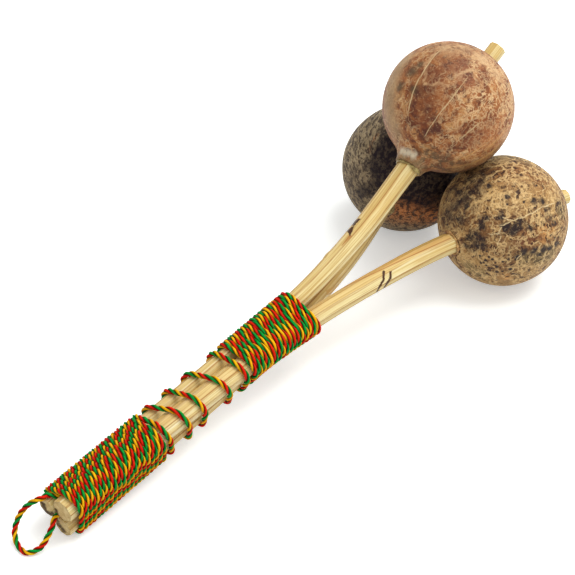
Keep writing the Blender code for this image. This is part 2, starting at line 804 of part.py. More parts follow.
def make_seeds(parts, parent, finish):
    """Loose seeds on the floor of each hollow, each with room of its own to jump."""
    work = bmesh.new()
    bmesh.ops.create_icosphere(work, subdivisions=2, radius=SEED_RADIUS)
    mesh = mesh_from("seed", work)
    mesh.materials.append(finish)
    for name in ORDER:
        for k, (x, y) in enumerate(seed_places()):
            drop, travel = seed_travel(name, x, y)
            made = add_object("seed_%s_%d" % (name, k + 1), mesh, parts, parent)
            made.location = CENTRES[name] + Vector((x, y, -drop))
            print("%s can jump %.1f mm" % (made.name, travel / MM))


def world_box(pieces):
    bpy.context.view_layer.update()
    graph = bpy.context.evaluated_depsgraph_get()
    corners = []
    for piece in pieces:
        seen = piece.evaluated_get(graph)
        mesh = seen.to_mesh()
        corners += [seen.matrix_world @ vertex.co for vertex in mesh.vertices]
        seen.to_mesh_clear()
    corners = np.array(corners)
    return Vector(corners.min(axis=0)), Vector(corners.max(axis=0))


def stand_on_origin(root, parts):
    """Move the model so that its box, without the free loop, stands centred on the origin."""
    low, high = world_box([piece for piece in parts.objects if piece.name != "hanging_loop"])
    root.location = (-(low.x + high.x) / 2, -(low.y + high.y) / 2, -low.z)
    bpy.context.view_layer.update()
    print("box without the loop, mm:", tuple(round(v / MM, 1) for v in high - low))
    loop = loop_path()
    named = {"butt": BUTT, "loop start": loop[0], "loop end": loop[-1]}
    for name in ORDER:
        named[name + " shell"] = CENTRES[name]
        named[name + " entry"] = entry_point(name)
        named[name + " stub end"] = stub_end(name)
        named[name + " butt end"] = HANDLE @ stick_place(name, 0.0)
    for label, point in named.items():
        print(label, tuple(round(v, 5) for v in point + root.location))


def main():
    for old in list(bpy.data.objects):
        bpy.data.objects.remove(old)
    scene = bpy.context.scene
    parts = bpy.data.collections.new("rope_shaker")
    cutters = bpy.data.collections.new("cutters")
    scene.collection.children.link(parts)
    scene.collection.children.link(cutters)
    root = add_empty("shaker_frame", None, Matrix.Identity(4))
    handle = add_empty("handle_frame", root, HANDLE)

    wood = material("straw_wood", (0.62, 0.42, 0.17), 0.55)
    glue = material("yellow_glue", (0.45, 0.36, 0.12), 0.3, 0.3)
    cord = material("red_gold_green_cord", (0.60, 0.20, 0.03), 0.45)
    seed = material("dry_seed", (0.05, 0.035, 0.025), 0.4)
    shell_finish = {
        "top": material("red_brown_shell", (0.38, 0.17, 0.075), 0.5),
        "right": material("tan_shell", (0.28, 0.17, 0.09), 0.55),
        "left": material("dark_shell", (0.16, 0.125, 0.09), 0.6),
    }

    section = section_profile(cutters)
    sticks = [make_stick(name, section, parts, root, wood) for name in ORDER]
    for name in ORDER:
        make_shell(name, parts, cutters, root, shell_finish[name])
        make_glue(name, parts, root, glue)
    floor = make_windings(parts, cutters, handle, cord)
    floor.parent = root
    make_loop(sticks, parts, cutters, root, cord)
    make_seeds(parts, root, seed)
    for piece in parts.objects:
        if piece.type == "MESH":
            piece.data.shade_smooth()
            piece.data.set_sharp_from_angle(angle=math.radians(35.0))
    stand_on_origin(root, parts)


main()
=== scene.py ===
"""Looks of a rattle of three nut shells on sticks, bound with three-coloured twisted cord."""
import math

import bmesh
import bpy
import numpy as np
from mathutils import Matrix, Vector, noise


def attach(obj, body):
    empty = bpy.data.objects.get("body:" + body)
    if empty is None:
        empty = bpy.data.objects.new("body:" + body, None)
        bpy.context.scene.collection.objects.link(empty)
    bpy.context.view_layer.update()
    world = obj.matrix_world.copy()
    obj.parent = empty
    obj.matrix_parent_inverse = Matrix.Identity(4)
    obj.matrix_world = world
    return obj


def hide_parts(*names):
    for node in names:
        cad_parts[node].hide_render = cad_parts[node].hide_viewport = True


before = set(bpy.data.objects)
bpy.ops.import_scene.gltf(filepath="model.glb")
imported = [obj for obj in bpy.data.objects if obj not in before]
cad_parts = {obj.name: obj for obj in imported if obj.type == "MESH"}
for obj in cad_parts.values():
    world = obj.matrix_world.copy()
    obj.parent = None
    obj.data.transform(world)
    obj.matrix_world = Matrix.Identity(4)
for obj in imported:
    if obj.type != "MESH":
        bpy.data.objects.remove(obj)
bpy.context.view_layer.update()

MM = 0.001

# Camera, from the photograph
TARGET = Vector((0.00081, 0.00684, 0.03951))
AZIMUTH = -49.3
ELEVATION = 37.1
DISTANCE = 1.0
LENS_PER_SENSOR = 2098 / 575
VIEW_BACK = Vector((-0.6047, -0.5201, 0.6032))
# The facets of the sticks that face this way get painted light: they are toned paler.
PAINTED_LIGHT_WAY = Vector((-0.42, -0.82, 0.27))

# Places and sizes of the model, as its source gives them
BUTT = Vector((-0.1622, -0.00116, 0.01241))
HANDLE_SLOPE = 5.4
BUTT_TURN = 10.0
SPREAD_TURN = 44.0
SPREAD = 0.9 * MM
TWIST_KNOTS = 8
GAP = 0.3 * MM
ORDER = ("top", "right", "left")
STICKS = {
    "top": {
        "butt_radius": 4.8 * MM,
        "bound_radius": 4.8 * MM,
        "entry_radius": 5.6 * MM,
        "stub_radius": 4.5 * MM,
        "handle_angle": 162.0,
        "bow": Vector((0.2, -1.9, -1.5)) * MM,
        "entry": Vector((0.0824, -0.00107, 0.07041)),
        "end": Vector((0.14901, -0.00352, 0.10905)),
        "stub_length": 7.4 * MM,
    },
    "right": {
        "butt_radius": 5.75 * MM,
        "bound_radius": 5.2 * MM,
        "entry_radius": 5.5 * MM,
        "stub_radius": 4.0 * MM,
        "handle_angle": 42.0,
        "bow": Vector((0.15, 1.1, 1.0)) * MM,
        "entry": Vector((0.08835, -0.02511, 0.03273)),
        "end": Vector((0.15847, -0.04522, 0.03311)),
        "stub_length": 7.0 * MM,
    },
    "left": {
        "butt_radius": 4.95 * MM,
        "bound_radius": 4.75 * MM,
        "entry_radius": 4.8 * MM,
        "stub_radius": 4.0 * MM,
        "handle_angle": 282.0,
        "bow": Vector((1.9, -2.4, 0.0)) * MM,
        "entry": Vector((0.09378, 0.0222, 0.03145)),
        "end": Vector((0.16316, 0.04555, 0.03503)),
        "stub_length": 6.5 * MM,
    },
}
SHELLS = {
    "top": {"centre": Vector((0.11448, 0.00005, 0.08922)), "radius": 32.6 * MM, "neck": 4.6 * MM, "blend": 38.0},
    "right": {"centre": Vector((0.12058, -0.03306, 0.0328)), "radius": 32.8 * MM, "neck": 0.4 * MM, "blend": 20.0},
    "left": {"centre": Vector((0.12568, 0.03294, 0.0331)), "radius": 33.1 * MM, "neck": 0.6 * MM, "blend": 22.0},
}
NECK_WALL = 1.7 * MM

# Binding: the passes of each turn over the top, the near side and the bottom
FIRST_TURN = 3.9 * MM
PITCH = 2.6 * MM
LOWER_TURNS = 22
UPPER_TURNS = 16
TURN_FRACTIONS = (0.20, 0.485, 0.773)
LOWER_LEAN = ((1.3, -0.55, -0.4), (1.7, -1.3, 1.2))
UPPER_LEAN = ((-0.3, -1.8, 1.2), (0.1, 0.15, 1.0))
OPEN_PASSES = (
    (2.3, 1.3, 6.5),
    (9.6, 13.3, 18.7),
    (22.7, 24.5, 28.4),
    (36.3, 40.2, 46.7),
    (53.3, 53.4, 57.1),
    (60.1, 59.0, 63.0),
)
OPEN_LENGTH = 62.5 * MM
DENSE_TURNS = LOWER_TURNS - 1
OPEN_TURNS = len(OPEN_PASSES) - 1
ALL_TURNS = LOWER_TURNS + OPEN_TURNS + UPPER_TURNS
DENSE_END = FIRST_TURN + DENSE_TURNS * PITCH
UPPER_START = DENSE_END + OPEN_LENGTH
BOUND_LENGTH = UPPER_START + UPPER_TURNS * PITCH

# Cord: three strands laid right-handed
CORD_RADIUS = 1.38 * MM
STRAND_RADIUS = 0.7 * MM
STRAND_OFFSET = 0.68 * MM
CORD_STEP = 0.75 * MM
LOOP_LAY = 10.5 * MM
# Turn counts and the length of a lay there in millimetres, and the strand on top of some turns
LAYS = ((0, 8.8), (12, 9.13), (20, 9.25), (22, 13.0), (26, 13.6), (28, 12.4), (40, 12.85), (43, 14.2))
TOP_STRANDS = ((22, 1), (23, 1), (24, 0), (25, 0), (26, 1), (27, 2))

# Loop and its two ends, as in the source
LOOP_DIAMETER = 2.1 * MM
LOOP_POINTS = (
    (-1.65, 7.4, 7.0),
    (-3.15, 8.4, 6.5),
    (-5.15, 10.3, 5.1),
    (-7.6, 12.5, 2.1),
    (-10.6, 13.8, -2.3),
    (-14.0, 13.0, -8.1),
    (-16.7, 8.4, -11.0),
    (-17.0, 2.0, -11.2),
    (-12.9, -1.0, -9.8),
    (-6.8, -1.4, -5.0),
    (-3.6, -0.9, -1.9),
)
LOOP_MOUTH = 0.8 * MM
STRAIGHT_END = 0.5 * LOOP_DIAMETER
TAIL_REACH = 1.35 * MM
TAIL_STATIONS = (12.9 * MM, 8.4 * MM, 4.8 * MM)
TAIL_OVER_END = ((84.0, 3.0 * MM), (98.0, 1.0 * MM))
TUCK_LENGTH = 9.0 * MM

HANDLE = Matrix.Translation(BUTT) @ Matrix.Rotation(-math.radians(HANDLE_SLOPE), 4, "Y")
AXIS = HANDLE.to_3x3() @ Vector((1.0, 0.0, 0.0))


# Routes, in the handle's own frame up to the binding

def around(angle, distance, station=0.0):
    """A point beside the handle's axis: 0 degrees is -Y and 90 is the upper side."""
    turn = math.radians(angle)
    return Vector((station, -distance * math.cos(turn), distance * math.sin(turn)))


def bound_share(station, start=0.0):
    return min(max((station - start) / (BOUND_LENGTH - start), 0.0), 1.0)


def bound_radius(name, station):
    stick = STICKS[name]
    return stick["butt_radius"] + (stick["bound_radius"] - stick["butt_radius"]) * bound_share(station)


def pack_radius(station):
    largest_two = sorted(bound_radius(name, station) for name in STICKS)[1:]
    return (sum(largest_two) + GAP) / math.sqrt(3.0) + SPREAD * bound_share(station, UPPER_START) ** 2


def stick_place(name, station):
    share = bound_share(station)
    twist = BUTT_TURN * (1 - share) ** 3 - SPREAD_TURN * share ** 4
    return around(STICKS[name]["handle_angle"] + twist, pack_radius(station), station)


def flat_angle(first, second, station):
    """The angle that the straight run of cord between two sticks faces."""
    a, b = stick_place(first, station), stick_place(second, station)
    normal = Vector((0.0, b.z - a.z, a.y - b.y))
    if normal.dot(a + b) < 0:
        normal.negate()
    return math.degrees(math.atan2(normal.z, -normal.y))


def hermite(p0, p1, m0, m1, t):
    return (
        p0 * (2 * t ** 3 - 3 * t ** 2 + 1)
        + m0 * (t ** 3 - 2 * t ** 2 + t)
        + p1 * (-2 * t ** 3 + 3 * t ** 2)
        + m1 * (t ** 3 - t ** 2)
    )


def smooth_path(knots, headings, step):
    """Points along a smooth curve through the knots. A heading of None follows the neighbours."""
    spans = [(b - a).length for a, b in zip(knots, knots[1:])]
    slopes = []
    for i, heading in enumerate(headings):
        if heading is None:
            before = (knots[i] - knots[i - 1]) / spans[i - 1]
            after = (knots[i + 1] - knots[i]) / spans[i]
            heading = (before * spans[i] + after * spans[i - 1]) / (spans[i - 1] + spans[i])
        slopes.append(heading)
    points = [knots[0]]
    for i, span in enumerate(spans):
        count = max(1, round(span / step))
        for k in range(1, count + 1):
            points.append(hermite(knots[i], knots[i + 1], slopes[i] * span, slopes[i + 1] * span, k / count))
    return points


def smooth_values(x, y, at):
    """A smooth curve through the points (x, y), read at other x."""
    x, y = np.array(x), np.array(y)
    slope = np.gradient(y, x)
    i = np.clip(np.searchsorted(x, at) - 1, 0, len(x) - 2)
    span = x[i + 1] - x[i]
    t = (at - x[i]) / span
    return hermite(y[i], y[i + 1], slope[i] * span, slope[i + 1] * span, t)


def stick_path(name, step):
    stick = STICKS[name]
    knots = [HANDLE @ stick_place(name, BOUND_LENGTH * k / TWIST_KNOTS) for k in range(TWIST_KNOTS + 1)]
    entry, end = stick["entry"], stick["end"]
    direction = (end - entry).normalized()
    knots += [(knots[-1] + entry) / 2 + stick["bow"], entry, end]
    headings = [AXIS] + [None] * (TWIST_KNOTS + 1) + [direction, direction]
    return smooth_path(knots, headings, step)


def stick_radius(name, point):
    stick = STICKS[name]
    entry, end = stick["entry"], stick["end"]
    direction = (end - entry).normalized()
    inside = (point - entry).dot(direction)
    if inside > 0.0:
        share = min(inside / ((end - entry).length - stick["stub_length"]), 1.0)
        return stick["entry_radius"] + (stick["stub_radius"] - stick["entry_radius"]) * share
    station = (point - BUTT).dot(AXIS)
    if station < BOUND_LENGTH:
        return bound_radius(name, station)
    share = (station - BOUND_LENGTH) / ((entry - BUTT).dot(AXIS) - BOUND_LENGTH)
    return stick["bound_radius"] + (stick["entry_radius"] - stick["bound_radius"]) * min(share, 1.0)


def leaning_turns(first_count, turns, start, leans):
    """A whipping's passes, whose lean goes from its first turn's to its last's."""
    rows = []
    for turn in range(turns):
        share = turn / (turns - 1)
        for fraction, first, last in zip(TURN_FRACTIONS, *leans):
            lean = (first + (last - first) * share) * MM
            rows.append((first_count + turn + fraction, start + (turn + fraction) * PITCH + lean))
    return rows


def cord_stations():
    """Turn counts, and how far along the handle the cord has come at each."""
    rows = leaning_turns(0, DENSE_TURNS, FIRST_TURN, LOWER_LEAN)
    for turn, passes in enumerate(OPEN_PASSES):
        for fraction, reach in zip(TURN_FRACTIONS, passes):
            rows.append((DENSE_TURNS + turn + fraction, DENSE_END + reach * MM))
    rows += leaning_turns(LOWER_TURNS + OPEN_TURNS, UPPER_TURNS, UPPER_START, UPPER_LEAN)
    before = [(count - 1, station - PITCH) for count, station in rows[:3]]
    after = [(count + 1, station + PITCH) for count, station in rows[-3:]]
    counts, stations = zip(*(before + rows + after))
    return counts, stations


def even_path(points, step):
    points = np.array([tuple(point) for point in points])
    length = np.concatenate(([0.0], np.cumsum(np.linalg.norm(np.diff(points, axis=0), axis=1))))
    even = np.linspace(0.0, length[-1], max(2, round(length[-1] / step)) + 1)
    return even, length, np.stack([np.interp(even, length, points[:, k]) for k in range(3)], axis=1)


def binding_line():
    """The whole binding's centre line: turn counts and points, evenly spaced."""
    arc, flat, steps = 13.0, 10.7, 10
    whole = 3 * (arc + flat)
    rows = []
    for turn in range(ALL_TURNS):
        for corner, name in enumerate(ORDER):
            for k in range(steps + 1):
                rows.append((turn + (flat / 2 + corner * (arc + flat) + arc * k / steps) / whole, name, k / steps))
    counts, stations = cord_stations()
    place = smooth_values(counts, stations, np.array([row[0] for row in rows]))
    points = []
    for (count, name, share), station in zip(rows, place):
        turn = 2 * math.pi * count
        slow = Vector((count * 0.22, math.cos(turn) * 0.9, math.sin(turn) * 0.9))
        station = float(station) + noise.noise(slow) * 0.4 * MM
        station += noise.noise(Vector((count * 1.7, 5.0, 2.0))) * 0.12 * MM
        before, after = ORDER[ORDER.index(name) - 1], ORDER[(ORDER.index(name) + 1) % 3]
        first = flat_angle(before, name, station)
        sweep = (first - flat_angle(name, after, station)) % 360.0
        reach = 0.975 * bound_radius(name, station) + CORD_RADIUS
        reach += noise.noise(Vector((count * 2.3, 9.0, 4.0))) * 0.06 * MM
        points.append(HANDLE @ (stick_place(name, station) + around(first - sweep * share, reach)))
    even, length, line = even_path(points, CORD_STEP)
    return np.interp(even, length, [row[0] for row in rows]), line


def groove_point(first, second, station):
    """The centre of a cord that lies in the groove between two sticks."""
    a, b = stick_place(first, station), stick_place(second, station)
    reach_a = bound_radius(first, station) + TAIL_REACH
    reach_b = bound_radius(second, station) + TAIL_REACH
    span = (b - a).length
    foot = (reach_a ** 2 - reach_b ** 2 + span ** 2) / (2 * span)
    lift = math.sqrt(reach_a ** 2 - foot ** 2)
    return a + (b - a) / span * foot + around(flat_angle(first, second, station), lift)


def loop_route():
    """The loop's knots joined by a smooth curve, and the ways it leaves at its two ends."""
    knots = [BUTT + Vector(point) * MM for point in LOOP_POINTS]
    first = (knots[1] - knots[0]).normalized()
    knots.insert(1, knots[0] + first * STRAIGHT_END)
    knots += [BUTT - AXIS * (LOOP_MOUTH + STRAIGHT_END), BUTT - AXIS * LOOP_MOUTH]
    headings = [first, first] + [None] * (len(knots) - 4) + [AXIS, AXIS]
    return smooth_path(knots, headings, 0.6 * MM)


def upper_tail_route(loop):
    """From under the first turns, over the top stick's end, to where the loop starts."""
    heading = (loop[1] - loop[0]).normalized()
    knots = [HANDLE @ groove_point("top", "right", station) for station in TAIL_STATIONS]
    for angle, station in TAIL_OVER_END:
        reach = bound_radius("top", station) + TAIL_REACH
        knots.append(HANDLE @ (stick_place("top", station) + around(angle, reach)))
    end = loop[0] - heading * GAP
    knots += [end - heading * STRAIGHT_END, end]
    headings = [-AXIS, -AXIS] + [None] * (len(knots) - 4) + [heading, heading]
    return smooth_path(knots, headings, 0.6 * MM)


def transported(points):
    """Tangents and two cross directions that turn as little as they can along the path."""
    tangent = np.gradient(points, axis=0)
    tangent /= np.linalg.norm(tangent, axis=1)[:, None]
    side = np.zeros_like(points)
    start = np.cross(tangent[0], (0.0, 0.0, 1.0))
    side[0] = start / np.linalg.norm(start)
    for i in range(1, len(points)):
        turned = side[i - 1] - tangent[i] * side[i - 1].dot(tangent[i])
        side[i] = turned / np.linalg.norm(turned)
    return tangent, side, np.cross(tangent, side)


def along(points):
    return np.concatenate(([0.0], np.cumsum(np.linalg.norm(np.diff(points, axis=0), axis=1))))


# Meshes

def new_mesh(name, vertices, faces, finishes, body, slots=None, fields=None):
    """A smooth mesh object that rides on a body, with extra vector or number fields on its points."""
    mesh = bpy.data.meshes.new(name)
    mesh.from_pydata([tuple(v) for v in vertices], [], faces)
    for finish in finishes:
        mesh.materials.append(finish)
    if slots is not None:
        mesh.polygons.foreach_set("material_index", slots)
    mesh.shade_smooth()
    for field, values in (fields or {}).items():
        values = np.array(values, dtype=float)
        kind, key = ("FLOAT", "value") if values.ndim == 1 else ("FLOAT_VECTOR", "vector")
        made = mesh.attributes.new(field, kind, "POINT")
        made.data.foreach_set(key, values.ravel())
    made = bpy.data.objects.new(name, mesh)
    bpy.context.scene.collection.objects.link(made)
    if body is not None:
        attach(made, body)
    return made


def strand_lay(points, lay_length, wander, seed):
    """What the strands need along a route: its points, cross directions, lengths and phases."""
    tangent, side, up = transported(points)
    length = along(points)
    phase = np.concatenate(([0.0], np.cumsum(2 * math.pi * np.diff(length) / lay_length[1:])))
    drift = np.array([
        noise.noise(Vector((value * 27.0, seed, 0.7))) + 0.35 * noise.noise(Vector((value * 80.0, seed, 4.2)))
        for value in length])
    return {"points": points, "side": side, "up": up, "length": length, "phase": phase + wander * drift}


def show_strand(lay, index, strand):
    """How far the phases are from showing a strand towards the photograph's side at a point."""
    toward = math.atan2(lay["up"][index].dot(VIEW_BACK), lay["side"][index].dot(VIEW_BACK))
    return toward - 2 * math.pi * strand / 3 - lay["phase"][index]


def twisted_cord(name, lay, first, last, finishes, body):
    """Three strands laid round one stretch of a route, each with its own colour."""
    sides = 9
    cut = slice(first, last + 1)
    points, side, up = lay["points"][cut], lay["side"][cut], lay["up"][cut]
    length, phase = lay["length"][cut], lay["phase"][cut]
    vertices, fibre, faces, slots = [], [], [], []
    inward = 0.5 - 0.5 * np.cos(2 * math.pi * np.arange(sides) / sides)
    for strand in range(3):
        turn = phase + 2 * math.pi * strand / 3
        swell = np.array([noise.noise(Vector((value * 260.0, strand * 3.1, 8.0))) for value in length])
        centre = points + (np.cos(turn)[:, None] * side + np.sin(turn)[:, None] * up) * STRAND_OFFSET
        base = strand * len(points) * sides
        rings = []
        threads = []
        for k in range(sides):
            angle = turn + 2 * math.pi * k / sides
            reach = (STRAND_RADIUS * (1 + 0.12 * swell))[:, None]
            rings.append(centre + (np.cos(angle)[:, None] * side + np.sin(angle)[:, None] * up) * reach)
            thread = 2 * math.pi * k / sides + 2 * math.pi * length / (6.5 * MM)
            threads.append(np.stack([np.cos(thread), np.sin(thread), length / (6 * MM) + 7.0 * strand], axis=1))
        vertices.append(np.stack(rings, axis=1).reshape(-1, 3))
        fibre.append(np.stack(threads, axis=1).reshape(-1, 3))
        for i in range(len(points) - 1):
            for k in range(sides):
                a, b = base + i * sides + k, base + i * sides + (k + 1) % sides
                faces.append((a, b, b + sides, a + sides))
        faces.append(tuple(base + k for k in reversed(range(sides))))
        faces.append(tuple(base + (len(points) - 1) * sides + k for k in range(sides)))
        slots += [strand] * ((len(points) - 1) * sides + 2)
    vertices = np.concatenate(vertices)
    vertices[:, 2] = np.maximum(vertices[:, 2], 0.0)
    piece = new_mesh(name, vertices, faces, finishes, body, slots, {
        "fibre": np.concatenate(fibre), "inward": np.tile(inward, 3 * len(points))})
    return piece


# Materials

class Shader:
    """A short way to build a Principled material from nodes."""

    def __init__(self, name):
        self.material = bpy.data.materials.new(name)
        self.material.use_nodes = True
        self.tree = self.material.node_tree
        self.main = self.tree.nodes["Principled BSDF"]

    def add(self, kind, inputs=None, **settings):
        node = self.tree.nodes.new(kind)
        for key, value in settings.items():
            setattr(node, key, value)
        for key, value in (inputs or {}).items():
            self.feed(node.inputs[key], value)
        return node

    def feed(self, socket, value):
        if isinstance(value, bpy.types.NodeSocket):
            self.tree.links.new(value, socket)
        else:
            socket.default_value = value

    def attribute(self, name, output="Vector"):
        return self.add("ShaderNodeAttribute", attribute_name=name).outputs[output]

    def scaled(self, vector, scale):
        return self.add("ShaderNodeMapping", {"Vector": vector, "Scale": scale}).outputs["Vector"]

    def warped(self, vector, scale, reach):
        """The place moved about by a soft noise."""
        field = self.add("ShaderNodeTexNoise", {"Vector": vector, "Scale": scale, "Detail": 3.0})
        even = self.add("ShaderNodeVectorMath", {0: field.outputs["Color"], 1: (0.5, 0.5, 0.5)}, operation="SUBTRACT")
        return self.add("ShaderNodeVectorMath", {
            0: even.outputs[0], 1: (reach, reach, reach), 2: vector}, operation="MULTIPLY_ADD").outputs[0]

    def noise(self, vector, scale, detail=4.0, rough=0.5):
        node = self.add("ShaderNodeTexNoise", {
            "Vector": vector, "Scale": scale, "Detail": detail, "Roughness": rough})
        return node.outputs["Fac"]

    def voronoi(self, vector, scale, feature="DISTANCE_TO_EDGE"):
        node = self.add("ShaderNodeTexVoronoi", {"Vector": vector, "Scale": scale}, feature=feature)
        return node.outputs["Distance"]

    def ramp(self, value, stops):
        node = self.add("ShaderNodeValToRGB", {"Fac": value})
        elements = node.color_ramp.elements
        while len(elements) < len(stops):
            elements.new(0.5)
        for element, (place, colour) in zip(elements, stops):
            element.position = place
            element.color = (*colour, 1.0)
        return node.outputs["Color"]

    def level(self, value, low, high, to=(0.0, 1.0)):
        node = self.add("ShaderNodeMapRange", {
            "Value": value, "From Min": low, "From Max": high, "To Min": to[0], "To Max": to[1]})
        return node.outputs["Result"]

    def mix(self, factor, first, second, mode="MIX"):
        node = self.add("ShaderNodeMix", data_type="RGBA", blend_type=mode)
        self.feed(node.inputs["Factor"], factor)
        for socket, value in ((node.inputs[6], first), (node.inputs[7], second)):
            if isinstance(value, tuple) and len(value) == 3:
                value = (*value, 1.0)
            self.feed(socket, value)
        return node.outputs[2]

    def math(self, operation, first, second=0.0):
        node = self.add("ShaderNodeMath", operation=operation)
        self.feed(node.inputs[0], first)
        self.feed(node.inputs[1], second)
        return node.outputs[0]

    def times(self, *values):
        result = values[0]
        for value in values[1:]:
            result = self.math("MULTIPLY", result, value)
        return result

    def most(self, *values):
        result = values[0]
        for value in values[1:]:
            result = self.math("MAXIMUM", result, value)
        return result

    def patch(self, place, spot, inner, outer):
        """1 at a spot, falling to 0 between two distances from it."""
        node = self.add("ShaderNodeVectorMath", {0: place, 1: tuple(spot)}, operation="DISTANCE")
        return self.level(node.outputs["Value"], inner, outer, (1.0, 0.0))

    def arc(self, place, start, end, width):
        """A thin line from one spot to another round the origin, fading at its ends."""
        normal = start.cross(end).normalized()
        node = self.add("ShaderNodeVectorMath", {0: place, 1: tuple(normal)}, operation="DOT_PRODUCT")
        line = self.level(self.math("ABSOLUTE", node.outputs["Value"]), 0.35 * width, width, (1.0, 0.0))
        half = (end - start).length / 2
        return self.times(line, self.patch(place, (start + end) / 2, 0.75 * half, 1.02 * half))

    def along_way(self, offset, way):
        node = self.add("ShaderNodeVectorMath", {0: offset, 1: tuple(way)}, operation="DOT_PRODUCT")
        return node.outputs["Value"]

    def streak(self, place, start, end, width, taper, shift=0.0):
        """A mark as seen from the photograph's side, its half width changing from start to end."""
        start, end = Vector(start), Vector(end)
        way, half = (end - start).normalized(), (end - start).length / 2
        middle = (start + end) / 2
        offset = self.add("ShaderNodeVectorMath", {0: place, 1: tuple(middle)}, operation="SUBTRACT").outputs[0]
        down = self.math("ADD", self.along_way(offset, way), shift)
        across = self.math("ADD", self.along_way(offset, way.cross(VIEW_BACK).normalized()), shift)
        reach = self.level(down, -half, half, (width * taper, width))
        inside = self.level(self.math("SUBTRACT", reach, self.math("ABSOLUTE", across)), 0.0, 0.3 * MM)
        ends = self.level(self.math("ABSOLUTE", down), half - 0.1 * MM, half + 0.3 * MM, (1.0, 0.0))
        return self.times(inside, ends, self.patch(place, middle, half + 3 * MM, half + 3.5 * MM))

    def bump(self, height, distance, strength=1.0):
        node = self.add("ShaderNodeBump", {"Height": height, "Distance": distance, "Strength": strength})
        self.feed(self.main.inputs["Normal"], node.outputs["Normal"])

    def finish(self, colour, roughness, **others):
        self.feed(self.main.inputs["Base Color"], colour if not isinstance(colour, tuple) else (*colour, 1.0))
        self.feed(self.main.inputs["Roughness"], roughness)
        for key, value in others.items():
            self.feed(self.main.inputs[key.replace("_", " ")], value)
        return self.material


def strand_material(name, bright, deep):
    """Fine twisted yarn: thin threads that run slantwise, a little uneven along its length."""
    s = Shader(name)
    thread = s.attribute("fibre")
    threads = s.noise(s.scaled(thread, (1.0, 1.0, 0.12)), 5.5, 3.0, 0.6)
    uneven = s.noise(s.scaled(thread, (0.15, 0.15, 1.0)), 1.3, 2.0)
    tone = s.mix(s.level(threads, 0.38, 0.56), deep, bright)
    tone = s.mix(s.level(uneven, 0.62, 0.35, (0.0, 0.35)), tone, deep)
    # Painted shade: each strand darkens on its side towards the cord's middle, where the strands press together.
    painted_crease_shade = s.level(s.attribute("inward", "Fac"), 0.12, 0.56, (0.0, 0.95))
    tone = s.mix(painted_crease_shade, tone, tuple(0.2 * value for value in deep))
    s.bump(threads, 0.1 * MM, 0.5)
    return s.finish(tone, 0.6, Specular_IOR_Level=0.08)


def wood_material():
    """Pale straw wood with long fibre lines, brown along the edges of the knife cuts, and burn marks."""
    s = Shader("whittled_wood")
    grain = s.attribute("grain")
    corner = s.attribute("corner", "Fac")
    facet = s.attribute("tone", "Fac")
    place = s.add("ShaderNodeTexCoord").outputs["Object"]
    long_lines = s.noise(s.scaled(grain, (1.0, 1.0, 0.010)), 1900.0, 3.0, 0.6)
    broad = s.noise(s.scaled(grain, (1.0, 1.0, 0.02)), 560.0, 3.0, 0.6)
    blotch = s.noise(s.scaled(grain, (1.0, 1.0, 0.35)), 120.0, 3.0)
    # Facet tone: partly each facet's own random tone, partly painted light that makes the facets facing one way paler.
    tone = s.mix(s.level(facet, 0.15, 0.75), (0.80, 0.67, 0.33), (0.66, 0.43, 0.125))
    tone = s.mix(s.level(broad, 0.47, 0.60, (0.0, 0.8)), tone, (0.62, 0.43, 0.14))
    # Pale streaks along the grain: partly the wood's own pale streaks, partly painted highlight.
    tone = s.mix(s.level(broad, 0.43, 0.34, (0.0, 0.6)), tone, (0.88, 0.82, 0.56))
    tone = s.mix(s.level(blotch, 0.54, 0.74, (0.0, 0.45)), tone, (0.66, 0.41, 0.12))
    tone = s.mix(s.level(long_lines, 0.53, 0.61, (0.0, 0.65)), tone, (0.50, 0.29, 0.075))
    edge = s.times(s.level(corner, 0.74, 1.0), s.level(broad, 0.40, 0.56, (0.25, 1.0)))
    tone = s.mix(edge, tone, (0.40, 0.20, 0.046))
    orange = s.times(s.most(*[s.streak(place, *mark) for mark in ORANGE_SIDE]), 0.55)
    tone = s.mix(orange, tone, (0.62, 0.34, 0.085))
    tint = s.times(s.most(*[s.streak(place, *mark) for mark in TINTS]), s.level(long_lines, 0.35, 0.65, (1.0, 0.6)))
    tone = s.mix(tint, tone, (0.40, 0.15, 0.028))
    shift = s.times(s.math("SUBTRACT", s.noise(place, 900.0, 3.0), 0.5), 1.1 * MM)
    burnt = s.most(*[s.streak(place, *burn, shift) for burn in BURNS])
    tone = s.mix(burnt, tone, (0.070, 0.027, 0.010))
    height = s.math("SUBTRACT", s.times(long_lines, 0.5), s.most(burnt, s.times(edge, 0.6)))
    s.bump(height, 0.25 * MM, 0.7)
    return s.finish(tone, 0.5, Specular_IOR_Level=0.25)


